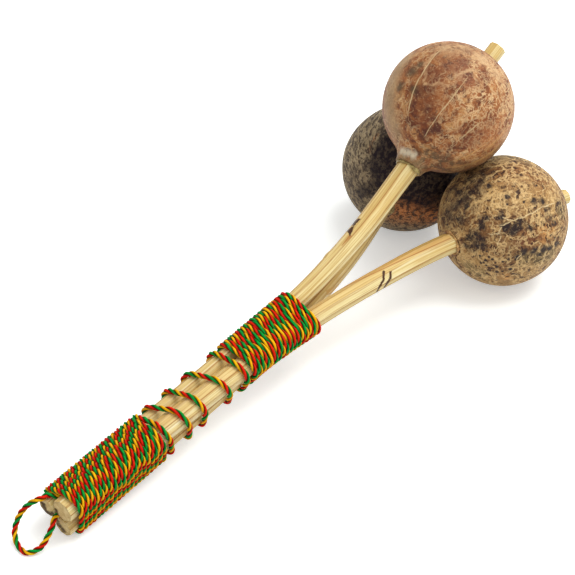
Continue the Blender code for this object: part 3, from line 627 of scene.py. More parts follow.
def end_grain_material(name, dark_patches):
    """Sawn end of a stick: pores, a muted straw tone and dark patches."""
    s = Shader(name)
    grain = s.attribute("grain")
    place = s.add("ShaderNodeTexCoord").outputs["Object"]
    pores = s.voronoi(grain, 1500.0, "F1")
    blotch = s.noise(grain, 330.0, 4.0, 0.6)
    tone = s.mix(s.level(blotch, 0.35, 0.62), (0.58, 0.41, 0.17), (0.78, 0.61, 0.30))
    tone = s.mix(s.level(pores, 0.1, 0.35, (0.45, 0.0)), tone, (0.36, 0.20, 0.07))
    rays = s.noise(s.scaled(grain, (0.25, 1.0, 1.0)), 1400.0, 3.0, 0.6)
    tone = s.mix(s.level(rays, 0.54, 0.66, (0.0, 0.6)), tone, (0.44, 0.26, 0.085))
    height = blotch
    if dark_patches:
        ragged = s.warped(place, 700.0, 1.3 * MM)
        dark = s.most(*[s.patch(ragged, spot, 0.55 * reach * MM, reach * MM) for spot, reach in dark_patches])
        tone = s.mix(s.times(dark, s.level(blotch, 0.3, 0.6, (1.0, 0.75))), tone, (0.035, 0.016, 0.012))
        height = s.math("SUBTRACT", blotch, dark)
    s.bump(height, 0.5 * MM, 0.8)
    return s.finish(tone, 0.75, Specular_IOR_Level=0.15)


def spot(name, off, turn, reach=None):
    """A place on a shell: degrees off the way to its stick's entry, and round it."""
    off, turn = math.radians(off), math.radians(turn)
    reach = reach or SHELLS[name]["radius"]
    return Vector((math.sin(off) * math.cos(turn), math.sin(off) * math.sin(turn), math.cos(off))) * reach


def spots(s, place, name, rows, inner, outer):
    """Round patches on a shell, each at (off, turn) with its size."""
    masks = [
        s.patch(place, spot(name, off, turn), inner * size * MM, outer * size * MM) for off, turn, size in rows]
    return s.most(*masks)


def scratches(s, place, name, rows, width):
    """Thin lines along the shell from one (off, turn) to another."""
    masks = [s.arc(place, spot(name, *start), spot(name, *end), width) for start, end in rows]
    return s.most(*masks)


def red_brown_nut():
    """Warm red-brown with a ragged pale net, dark red patches and long pale scratches, with painted sheen on the left
    and top edges, painted light on the right and painted shade underneath and on the upper left.
    """
    s = Shader("red_brown_nut")
    place, fibre = s.attribute("local"), s.attribute("fibre")
    bent = s.warped(place, 95.0, 9 * MM)
    ragged = s.warped(place, 330.0, 3.4 * MM)
    broad = s.noise(place, 42.0, 3.0, 0.5)
    mottle = s.noise(bent, 170.0, 5.0, 0.68)
    grit = s.noise(place, 900.0, 3.0, 0.65)
    tone = s.ramp(s.level(mottle, 0.36, 0.64), (
        (0.0, (0.150, 0.040, 0.013)), (0.3, (0.34, 0.112, 0.034)), (0.62, (0.49, 0.195, 0.066)),
        (1.0, (0.66, 0.36, 0.15))))
    smooth = spots(s, bent, "top", ((76, 168, 1.0), (78, 100, 1.2), (108, 168, 0.8), (96, 150, 0.6)), 6, 12)
    tone = s.mix(s.times(smooth, 0.65), tone, (0.39, 0.130, 0.038))
    tone = s.mix(s.level(broad, 0.52, 0.72, (0.0, 0.55)), tone, (0.25, 0.080, 0.026))
    deep = spots(s, ragged, "top", (
        (69, -180, 1.0), (60, 174, 0.9), (86, 177, 0.7), (52, 168, 0.8), (98, 172, 0.35), (91, -174, 0.4),
        (114, 160, 0.4), (107, -170, 0.35), (130, 166, 0.4), (114, 137, 0.4), (103, 138, 0.4), (100, 150, 0.35),
        (60, 112, 0.5), (71, 111, 0.45), (85, 110, 0.5), (60, 128, 0.35)), 4, 11)
    tone = s.mix(s.times(deep, s.level(mottle, 0.35, 0.60, (0.9, 0.35))), tone, (0.185, 0.045, 0.018))
    clots = s.noise(ragged, 300.0, 4.0, 0.62)
    flecks = s.level(clots, 0.545, 0.60)
    near_neck = s.patch(bent, spot("top", 30, 150), 16 * MM, 34 * MM)
    flecks = s.times(flecks, s.most(near_neck, s.level(broad, 0.40, 0.58, (0.3, 0.9))))
    tone = s.mix(s.times(flecks, 0.85), tone, (0.135, 0.036, 0.016))
    thick, middle, thin = (
        s.level(s.math("ABSOLUTE", s.math("SUBTRACT", s.noise(where, scale, 3.0, 0.6), 0.5)), 0.0, width, (1.0, 0.0))
        for where, scale, width in ((bent, 80.0, 0.022), (bent, 150.0, 0.034), (bent, 270.0, 0.046)))
    upper_right = s.patch(bent, spot("top", 106, 120), 18 * MM, 40 * MM)
    breaks = s.level(s.noise(place, 110.0, 3.0), 0.42, 0.54)
    net = s.most(s.times(thick, 0.8), s.times(middle, breaks, 0.8), s.times(thin, s.times(upper_right, 0.9)))
    net = s.times(net, s.most(upper_right, s.level(s.noise(place, 60.0, 2.0), 0.40, 0.60, (0.35, 0.9))))
    net = s.times(net, s.math("SUBTRACT", 1.0, s.times(s.most(smooth, deep), 0.55)))
    tone = s.mix(net, tone, (0.98, 0.72, 0.42))
    streaks = s.level(s.noise(s.scaled(fibre, (1.0, 1.0, 0.6)), 420.0, 3.0, 0.6), 0.52, 0.59)
    streaks = s.times(streaks, spots(s, bent, "top", ((62, 75, 1.0), (78, 70, 0.9), (50, 92, 0.7)), 8, 18))
    tone = s.mix(s.times(streaks, 0.8), tone, (0.72, 0.42, 0.165))
    maroon = spots(s, ragged, "top", (
        (56, 156, 1.0), (49, 147, 0.9), (45, 152, 1.0), (35, 160, 0.9), (58, 166, 0.9), (69, -179, 1.3), (40, 156, 0.9),
        (75, 179, 0.8), (59, -178, 0.8)), 1.2, 3.2)
    tone = s.mix(s.times(maroon, s.level(mottle, 0.42, 0.60, (0.9, 0.5))), tone, (0.105, 0.028, 0.018))
    # Painted sheen: a pale band down the shell's left edge.
    painted_rim_sheen = s.arc(s.warped(place, 120.0, 4 * MM), spot("top", 16, -146), spot("top", 116, -138), 9 * MM)
    tone = s.mix(s.times(painted_rim_sheen, 0.75), tone, (0.58, 0.395, 0.215))
    grey = spots(s, ragged, "top", ((85, -162, 1.1), (70, -155, 0.9), (70, -172, 0.8), (93, -166, 0.7)), 1.5, 4.2)
    neck_grey = spots(s, ragged, "top", ((20, 118, 1.0), (26, 98, 1.1), (32, 80, 1.2), (42, 60, 1.2)), 4, 10)
    grey = s.most(grey, s.times(neck_grey, s.level(clots, 0.44, 0.54, (0.25, 0.95))))
    tone = s.mix(s.times(grey, 0.85), tone, (0.125, 0.082, 0.042))
    # Painted shade: the underside is darkened.
    painted_underside_shade = s.patch(bent, spot("top", 66, 28), 17 * MM, 33 * MM)
    tone = s.mix(s.times(painted_underside_shade, 0.8), tone, (0.085, 0.038, 0.018))
    neck = s.times(s.patch(ragged, spot("top", 0, 0, 34.2 * MM), 7.4 * MM, 9.2 * MM), 0.85)
    tone = s.mix(neck, tone, (0.33, 0.235, 0.120))
    white = s.most(*[
        s.patch(ragged, spot("top", off, turn, reach * MM), 0.9 * MM, 2.9 * MM) for off, turn, reach in (
            (14.6, -156, 34.9), (14.4, -171, 34.9), (14.6, 174, 34.7), (14.9, 159, 34.6))])
    tone = s.mix(s.times(white, 0.8), tone, (0.98, 0.92, 0.76))
    wavy = s.warped(place, 160.0, 1.2 * MM)
    cuts = scratches(s, wavy, "top", (((49, -174), (84, -173)), ((80, -174), (117, -172))), 0.42 * MM)
    second = scratches(s, wavy, "top", (
        ((35, 156), (72, 153)), ((64, 153), (102, 150)), ((50, 121), (78, 119)), ((60, 30), (95, 24)),
        ((45, -60), (100, -66)), ((70, -20), (105, -24))), 0.34 * MM)
    pale = scratches(s, s.warped(place, 200.0, 4.5 * MM), "top", (
        ((79, -179), (79, 170)), ((78, 173), (86, 166)), ((84, 168), (87, 158)), ((79, -179), (98, -172)),
        ((92, -170), (112, -170)), ((96, 160), (113, 150))), 1.1 * MM)
    tone = s.mix(s.times(pale, s.level(mottle, 0.40, 0.58, (0.3, 0.95))), tone, (0.78, 0.50, 0.28))
    tone = s.mix(s.times(cuts, s.level(grit, 0.3, 0.55, (0.65, 1.0))), tone, (0.90, 0.70, 0.42))
    tone = s.mix(s.times(second, s.level(grit, 0.38, 0.56, (0.3, 0.95))), tone, (0.88, 0.68, 0.41))
    # Painted light and shade, multiplied over the colour: lighter patches on the right side, darker ones on the upper
    # left, the rest toned down evenly.
    painted_light_patch = s.times(spots(s, bent, "top", ((62, 75, 1.0), (76, 84, 1.0)), 6, 20), 0.9)
    painted_shade_patch = s.times(spots(s, bent, "top", ((98, 170, 1.0), (86, 174, 0.8), (104, -178, 0.9)), 5, 19), 0.9)
    # Painted sheen: paler spots along the top edge.
    painted_top_sheen = spots(s, bent, "top", ((122, -174, 1.0), (131, 174, 0.9), (129, 148, 0.9), (125, 128, 0.8)), 2, 9)
    tone = s.mix(s.times(painted_top_sheen, s.level(mottle, 0.36, 0.54, (0.25, 0.75))), tone, (0.84, 0.60, 0.36))
    light = s.mix(painted_shade_patch, s.mix(painted_light_patch, (0.76, 0.71, 0.62), (1.0, 0.93, 0.75)), (0.59, 0.53, 0.45))
    tone = s.mix(1.0, tone, light, "MULTIPLY")
    tone = s.mix(s.level(grit, 0.55, 0.68, (0.0, 0.4)), tone, (0.11, 0.036, 0.014))
    tone = s.mix(s.level(grit, 0.42, 0.30, (0.0, 0.35)), tone, (0.80, 0.52, 0.26))
    height = s.math("ADD", s.times(net, 0.5), s.math("SUBTRACT", s.times(mottle, 0.7), s.times(flecks, 0.4)))
    s.bump(s.math("SUBTRACT", height, s.times(s.most(cuts, second), 0.5)), 0.35 * MM, 0.6)
    return s.finish(tone, s.level(mottle, 0.3, 0.7, (0.62, 0.46)), Specular_IOR_Level=0.25)


def tan_nut():
    """Tan and brown with dense dark speckle, black patches, round pits and a pale crackle, and painted shade on the
    side towards the top shell.
    """
    s = Shader("tan_nut")
    place = s.attribute("local")
    bent = s.warped(place, 110.0, 8 * MM)
    ragged = s.warped(place, 380.0, 3 * MM)
    mottle = s.noise(bent, 210.0, 5.0, 0.70)
    broad = s.noise(place, 55.0, 3.0, 0.5)
    grit = s.noise(place, 1000.0, 3.0, 0.65)
    tone = s.ramp(s.level(mottle, 0.37, 0.63), (
        (0.0, (0.080, 0.034, 0.018)), (0.35, (0.225, 0.115, 0.052)), (0.68, (0.36, 0.215, 0.098)),
        (1.0, (0.58, 0.39, 0.195))))
    brown = spots(s, bent, "right", ((88, 168, 1.0), (105, 150, 0.8), (78, 108, 0.6), (40, 150, 0.9)), 6, 15)
    tone = s.mix(s.times(brown, 0.5), tone, (0.285, 0.130, 0.045))
    pale = spots(s, bent, "right", (
        (60, 158, 1.0), (84, 146, 0.9), (108, 132, 0.8), (52, 30, 1.4), (30, 60, 0.9), (60, 54, 1.0),
        (74, 62, 0.9)), 5, 13)
    tone = s.mix(s.times(pale, 0.5), tone, (0.54, 0.355, 0.16))
    tone = s.mix(s.level(broad, 0.50, 0.70, (0.0, 0.45)), tone, (0.16, 0.080, 0.036))
    orange = spots(s, ragged, "right", (
        (91, 110, 1.1), (97, 112, 1.0), (88, 104, 0.7), (76, 112, 0.5), (58, 62, 0.8)), 1.5, 5.5)
    tone = s.mix(s.times(orange, s.level(mottle, 0.38, 0.58, (0.35, 0.85))), tone, (0.62, 0.31, 0.11))
    maroon = spots(s, ragged, "right", ((73, 110, 1.2), (81, 105, 0.9), (66, 108, 0.9)), 2, 6)
    tone = s.mix(s.times(maroon, s.level(mottle, 0.40, 0.60, (0.95, 0.4))), tone, (0.120, 0.034, 0.018))
    grey = spots(s, bent, "right", (
        (34, 48, 0.9), (27, 44, 0.8), (118, 120, 0.8), (84, 86, 1.0), (70, 88, 0.8), (96, 84, 0.8)), 3, 8)
    tone = s.mix(s.times(grey, 0.65), tone, (0.155, 0.130, 0.070))
    olive = s.patch(bent, spot("right", 112, -150), 8 * MM, 22 * MM)
    tone = s.mix(s.times(olive, 0.6), tone, (0.30, 0.25, 0.135))
    clots = s.level(s.noise(ragged, 280.0, 4.0, 0.62), 0.54, 0.575)
    clots = s.times(clots, s.level(s.noise(place, 120.0, 3.0, 0.55), 0.44, 0.54, (0.15, 1.0)))
    small = s.level(s.noise(ragged, 560.0, 3.0, 0.6), 0.56, 0.60)
    small = s.times(small, s.level(s.noise(place, 75.0, 3.0), 0.38, 0.52, (0.3, 1.0)))
    ridges = s.level(
        s.math("ABSOLUTE", s.math("SUBTRACT", s.noise(bent, 130.0, 3.0, 0.55), 0.5)), 0.008, 0.036, (1.0, 0.0))
    fine_net = s.level(
        s.math("ABSOLUTE", s.math("SUBTRACT", s.noise(bent, 270.0, 2.0, 0.5), 0.5)), 0.008, 0.050, (1.0, 0.0))
    breaks = s.level(s.noise(place, 140.0, 3.0), 0.40, 0.54)
    net = s.most(s.times(ridges, 0.95), s.times(fine_net, breaks, 0.8))
    dark = s.times(s.most(clots, small), s.math("SUBTRACT", 1.0, s.times(net, 0.85)))
    tone = s.mix(s.times(dark, 0.92), tone, (0.036, 0.015, 0.013))
    tone = s.mix(s.times(net, 0.8), tone, (0.74, 0.54, 0.30))
    black = spots(s, ragged, "right", (
        (27, 125, 2.1), (29, 113, 1.9), (21, 115, 1.9), (41, 147, 1.0), (56, 126, 1.2),
        (61, 120, 1.1), (68, 124, 1.3), (64, 121, 1.0), (74, 120, 0.9), (77, 117, 0.8), (96, 135, 1.1), (99, 127, 1.0),
        (98, 120, 1.1), (102, 113, 0.9), (66, 181, 1.0), (64, 173, 0.9), (50, 182, 1.0), (39, 175, 1.1),
        (43, 145, 1.2), (56, 138, 0.9), (38, 138, 1.0), (89, 138, 0.9), (70, 152, 0.6), (58, -168, 1.0),
        (46, -160, 1.0), (70, -70, 1.4), (110, -20, 1.2)), 1.5, 2.9)
    black = s.times(black, s.level(mottle, 0.46, 0.62, (1.0, 0.3)))
    # The dark cloud on the upper side near the neck, towards the top shell, is partly dark mottling and partly painted
    # shade where that shell hangs over.
    cloud = spots(s, bent, "right", ((32, -162, 1.0), (44, -165, 1.0), (60, -170, 0.8)), 7, 15)
    cloud = s.times(cloud, s.level(mottle, 0.42, 0.60, (0.9, 0.25)))
    band = spots(s, ragged, "right", (
        (68, 97, 1.1), (77, 95, 1.2), (87, 93, 1.1), (94, 92, 0.9), (62, 92, 0.8), (82, 90, 0.9), (104, 92, 1.0)),
        0.9, 2.5)
    pits = spots(s, place, "right", (
        (35, 83, 1.0), (32, 75, 1.0), (37, 74, 0.9), (46, 77, 1.2), (48, 68, 1.2), (50, 86, 0.9), (41, 88, 1.0),
        (38, 91, 0.9), (58, 76, 1.4), (34, 78, 0.9), (52, 71, 1.0), (44, 83, 0.8), (55, 90, 0.8), (30, 90, 0.9),
        (36, 100, 0.8), (100, 150, 0.8), (66, 146, 0.8), (80, 141, 0.9)), 0.55, 0.95)
    black = s.most(black, cloud, band, pits)
    tone = s.mix(s.times(black, 0.95), tone, (0.016, 0.011, 0.016))
    light = scratches(s, s.warped(place, 200.0, 5 * MM), "right", (
        ((34, 174), (56, 164)), ((52, 166), (74, 154)), ((90, 132), (88, 112)), ((80, 166), (100, 158)),
        ((64, -178), (88, 178))), 1.1 * MM)
    tone = s.mix(s.times(light, s.level(mottle, 0.38, 0.58, (0.3, 0.9))), tone, (0.65, 0.46, 0.24))
    crackle = scratches(s, s.warped(place, 300.0, 2.4 * MM), "right", (
        ((52, 129), (66, 130)), ((64, 130), (75, 129)), ((73, 129), (95, 130)), ((92, 130), (112, 130)),
        ((57, 137), (64, 130)), ((47, 120), (54, 128)), ((40, 126), (50, 121)), ((46, 108), (50, 120)),
        ((62, 88), (66, 96)), ((86, 70), (90, 92)), ((40, -40), (80, -46)), ((60, -10), (90, 4))), 0.36 * MM)
    tone = s.mix(s.times(crackle, s.level(grit, 0.36, 0.56, (0.55, 1.0))), tone, (0.74, 0.60, 0.40))
    tone = s.mix(1.0, tone, (1.0, 0.93, 0.74), "MULTIPLY")
    tone = s.mix(s.level(grit, 0.54, 0.66, (0.0, 0.5)), tone, (0.060, 0.027, 0.017))
    tone = s.mix(s.level(grit, 0.43, 0.31, (0.0, 0.35)), tone, (0.64, 0.47, 0.26))
    height = s.math(
        "SUBTRACT", s.math("ADD", s.times(net, 0.5), s.times(mottle, 0.7)), s.times(s.most(dark, black), 0.6))
    s.bump(height, 0.4 * MM, 0.6)
    return s.finish(tone, s.level(mottle, 0.3, 0.7, (0.7, 0.52)), Specular_IOR_Level=0.2)


def dark_nut():
    """Like bark: fine dark flecks along the shell, over grey-brown, with painted shade, nearly black, on the side
    towards the others.
    """
    s = Shader("dark_nut")
    place = s.attribute("local")
    swept = s.warped(s.scaled(place, (1.0, 1.0, 0.26)), 150.0, 3.5 * MM)
    bent = s.warped(place, 120.0, 8 * MM)
    fleck = s.noise(swept, 520.0, 4.0, 0.66)
    small = s.noise(swept, 1100.0, 3.0, 0.65)
    mottle = s.noise(bent, 240.0, 5.0, 0.7)
    grit = s.noise(place, 1000.0, 3.0, 0.65)
    tone = s.ramp(s.level(mottle, 0.36, 0.64), (
        (0.0, (0.215, 0.158, 0.088)), (0.5, (0.385, 0.285, 0.160)), (1.0, (0.58, 0.44, 0.26))))
    upper = spots(s, bent, "left", ((84, -150, 1.0), (66, -150, 0.9)), 8, 20)
    tone = s.mix(s.times(upper, 0.45), tone, (0.165, 0.125, 0.070))
    streak = scratches(s, s.warped(place, 150.0, 3 * MM), "left", (
        ((67, -158), (57, -154)), ((59, -155), (48, -150))), 1.6 * MM)
    tone = s.mix(s.times(streak, 0.9), tone, (0.34, 0.19, 0.09))
    rust = spots(s, bent, "left", ((18, 52, 1.0), (26, 70, 1.2), (39, 70, 1.1), (48, 66, 0.9)), 5, 13)
    tone = s.mix(s.times(rust, 0.9), tone, (0.62, 0.22, 0.07))
    tone = s.mix(s.times(s.patch(bent, spot("left", 34, 22), 6 * MM, 15 * MM), 0.6), tone, (0.27, 0.185, 0.105))
    dark = s.level(fleck, 0.50, 0.54)
    tone = s.mix(s.times(dark, 0.85), tone, (0.034, 0.020, 0.015))
    tone = s.mix(s.times(s.level(small, 0.54, 0.61), 0.6), tone, (0.045, 0.028, 0.020))
    tone = s.mix(s.times(s.level(small, 0.45, 0.36), 0.45), tone, (0.46, 0.36, 0.23))
    tone = s.mix(s.level(grit, 0.54, 0.66, (0.0, 0.4)), tone, (0.040, 0.026, 0.020))
    lower = spots(s, bent, "left", ((27, -89, 1.0), (34, -112, 0.8), (30, -135, 0.8)), 6, 16)
    tone = s.mix(s.times(lower, 0.35), tone, (0.070, 0.046, 0.034))
    # Painted shade, nearly black, on the side towards the other shells.
    shade = spots(s, bent, "left", (
        (44, -175, 0.75), (36, -168, 0.7), (24, 178, 0.6), (42, 170, 0.9), (60, 172, 0.95), (76, 165, 1.0),
        (60, 145, 1.3), (44, 140, 1.3), (44, 122, 1.2), (60, 115, 1.2), (80, 100, 1.0), (30, 158, 0.9), (30, 130, 0.8)),
        9, 16)
    # Blotches near the neck join the shade mask and take its near-black colour.
    neck_blotch = spots(s, bent, "left", (
        (27, -91, 0.8), (21, -109, 1.0), (18, -128, 1.0), (17, -150, 1.0), (21, -175, 1.0), (33, -161, 0.8)), 2.4, 5.5)
    shade = s.most(shade, s.times(neck_blotch, 0.85))
    shade = s.times(shade, s.level(fleck, 0.42, 0.54, (0.86, 1.0)))
    tone = s.mix(s.times(shade, 0.97), tone, (0.010, 0.004, 0.008))
    s.bump(s.math("SUBTRACT", s.times(small, 0.5), dark), 0.5 * MM, 0.55)
    return s.finish(tone, 0.65, Specular_IOR_Level=0.15)


def bead_material(name, pale, deep, clear):
    """A ragged bead of hardened glue with fibres in it."""
    s = Shader(name)
    place = s.attribute("local")
    cloud = s.noise(place, 520.0, 4.0, 0.65)
    hair = s.noise(s.scaled(place, (1.0, 1.0, 0.2)), 1500.0, 3.0, 0.6)
    tone = s.mix(s.level(cloud, 0.42, 0.58), deep, pale)
    tone = s.mix(s.level(hair, 0.52, 0.66, (0.0, 0.75)), tone, deep)
    s.bump(s.math("ADD", cloud, hair), 0.4 * MM, 0.8)
    return s.finish(tone, 0.4, Transmission_Weight=clear, Specular_IOR_Level=0.25)


def seed_material():
    s = Shader("dry_seed_coat")
    place = s.add("ShaderNodeTexCoord").outputs["Object"]
    patches = s.noise(place, 420.0, 4.0, 0.6)
    s.bump(patches, 0.15 * MM, 0.5)
    return s.finish(s.ramp(patches, ((0.3, (0.03, 0.02, 0.014)), (0.7, (0.10, 0.065, 0.04)))), 0.45)


# Marks on the sticks as seen from the photograph's side: start, end, half width and its taper
BURNS = (
    ((0.0366, -0.0019, 0.0540), (0.0408, 0.0014, 0.0560), 2.1 * MM, 0.1),
    ((0.0421, 0.0007, 0.0560), (0.0465, 0.0011, 0.0578), 1.25 * MM, 0.5),
    ((0.0417, -0.0192, 0.0332), (0.0448, -0.0168, 0.0361), 0.75 * MM, 0.9),
    ((0.0386, -0.0178, 0.0277), (0.0419, -0.0191, 0.0335), 0.80 * MM, 0.5),
    ((0.0456, -0.0202, 0.0322), (0.0475, -0.0190, 0.0353), 0.75 * MM, 0.9),
    ((0.0434, -0.0184, 0.0275), (0.0458, -0.0201, 0.0325), 0.80 * MM, 0.5),
)
TINTS = (
    ((0.03103, -0.00147, 0.05149), (0.0372, -0.0019, 0.0543), 0.9 * MM, 0.3),
    ((0.0200, -0.0072, 0.0332), (0.0566, -0.01875, 0.03694), 0.40 * MM, 0.8),
    ((0.0566, -0.01875, 0.03694), (0.0859, -0.02636, 0.0377), 0.45 * MM, 0.9),
)
ORANGE_SIDE = (
    ((0.0202, -0.0064, 0.0341), (0.0568, -0.0179, 0.0378), 1.3 * MM, 0.9),
    ((0.0568, -0.0179, 0.0378), (0.0861, -0.0255, 0.0386), 1.4 * MM, 0.9),
)
NOTCHES = {"top": (((0.02587, 0.00334, 0.04706), 3.2 * MM, 0.6 * MM),)}

# Dark patches on the sawn ends: where, and how far they reach in millimetres
END_DARK_PATCHES = {
    "top": (
        ((-0.16236, 0.00744, 0.01413), 1.9), ((-0.1622, 0.0072, 0.0122), 2.1), ((-0.16201, 0.0063, 0.01041), 2.2),
        ((-0.16205, 0.0041, 0.0104), 1.9), ((-0.16211, 0.00171, 0.01151), 1.9)),
    "right": (((-0.16252, -0.00099, 0.01583), 1.6), ((-0.16235, -0.0014, 0.0142), 1.4), ((-0.16222, -0.00193, 0.01263), 1.6)),
    "left": (((-0.16185, 0.00005, 0.00876), 1.9), ((-0.1616, -0.0012, 0.0064), 2.2), ((-0.16145, -0.00318, 0.00448), 2.0)),
}


# The scene's pieces

def make_camera():
    azimuth, elevation = math.radians(AZIMUTH), math.radians(ELEVATION)
    back = Vector((
        math.sin(azimuth) * math.cos(elevation), -math.cos(azimuth) * math.cos(elevation), math.sin(elevation)))
    data = bpy.data.cameras.new("camera")
    data.lens = data.sensor_width * LENS_PER_SENSOR
    camera = bpy.data.objects.new("camera", data)
    bpy.context.scene.collection.objects.link(camera)
    camera.matrix_world = Matrix.Translation(TARGET + back * DISTANCE) @ back.to_track_quat("Z", "Y").to_matrix().to_4x4()
    bpy.context.scene.camera = camera


def make_loop(strands):
    """The loop and its two ends as one laid cord, cut where the loop's solid starts and ends."""
    loop = loop_route()
    tail = upper_tail_route(loop)
    mouth = BUTT - AXIS * (LOOP_MOUTH - GAP)
    tuck = [mouth + AXIS * TUCK_LENGTH * k / 12 for k in range(13)]
    parts = [even_path(points, 0.6 * MM)[2] for points in (tail, loop, tuck)]
    starts = [int(value) for value in np.cumsum([0] + [len(part) for part in parts])]
    points = np.concatenate(parts)
    lay = strand_lay(points, np.full(len(points), LOOP_LAY), 0.5, 0.3)
    lay["phase"] += show_strand(lay, starts[1] + 4, 2)
    for node, first, last in (
            ("loop_tail_upper", 0, starts[1]), ("loop_tail_centre", starts[2] - 1, starts[3] - 1)):
        piece = twisted_cord(node + "_strands", lay, first, last, strands, "rattle")
        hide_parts(node)
    piece = twisted_cord("loop_strands", lay, starts[1], starts[2] - 1, strands, "loop")
    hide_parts("hanging_loop")


def make_binding(strands):
    counts, points = binding_line()
    lay_length = np.interp(counts, [row[0] for row in LAYS], [row[1] for row in LAYS]) * MM
    lay = strand_lay(points, lay_length, 4.6, 7.3)
    height = points @ np.array(VIEW_BACK.cross(AXIS).normalized())
    if height[0] > 0 and VIEW_BACK.cross(AXIS).z < 0:
        height = -height
    at, shifts = [], []
    for turn, strand in TOP_STRANDS:
        rows = np.flatnonzero((counts >= turn) & (counts < turn + 0.6))
        index = int(rows[np.argmax(height[rows])])
        shift = show_strand(lay, index, strand)
        last = shifts[-1] if shifts else 0.0
        at.append(index)
        shifts.append(last + (shift - last + math.pi) % (2 * math.pi) - math.pi)
    lay["phase"] += np.interp(np.arange(len(points)), at, shifts)
    seams = {
        "lower_whipping": (0, LOWER_TURNS),
        "spiral_wrap": (LOWER_TURNS, LOWER_TURNS + OPEN_TURNS),
        "upper_whipping": (LOWER_TURNS + OPEN_TURNS, ALL_TURNS),
    }
    for node, (first, last) in seams.items():
        rows = np.flatnonzero((counts >= first) & (counts <= last))
        low, high = int(rows[0]), min(int(rows[-1]) + 1, len(points) - 1)
        piece = twisted_cord(node + "_strands", lay, low, high, strands, "rattle")
        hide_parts(node)


def facet_corners(name, radii, length):
    """The corners of an uneven eight-sided section at each ring, and how each facet is toned."""
    sides, seed = 8, 11.0 + 7.0 * ORDER.index(name)
    rng = np.random.default_rng(5 + ORDER.index(name))
    own_turn = rng.uniform(-5.0, 5.0, sides)
    own_size = rng.uniform(-0.025, 0.025, sides)
    turn, apothem = np.zeros((len(length), sides)), np.zeros((len(length), sides))
    for i, value in enumerate(length):
        for k in range(sides):
            sway = noise.noise(Vector((seed + k * 3.1, value * 22.0, 0.5)))
            cut = noise.noise(Vector((seed + k * 5.3, value * 70.0, 3.5)))
            turn[i, k] = math.radians(FACET_TURN[name] + k * 360.0 / sides + own_turn[k] + 3.5 * sway)
            size = 1 + own_size[k] + 0.03 * sway + 0.014 * cut
            apothem[i, k] = radii[i] * math.cos(math.pi / sides) * size
    after, size_after = np.roll(turn, -1, axis=1), np.roll(apothem, -1, axis=1)
    gap = np.sin(after - turn)
    x = (apothem * np.sin(after) - size_after * np.sin(turn)) / gap
    y = (size_after * np.cos(turn) - apothem * np.cos(after)) / gap
    return np.stack([x, y], axis=2), rng.uniform(0.0, 1.0, sides)


FACET_TURN = {"top": -46.0, "right": -30.0, "left": -40.0}


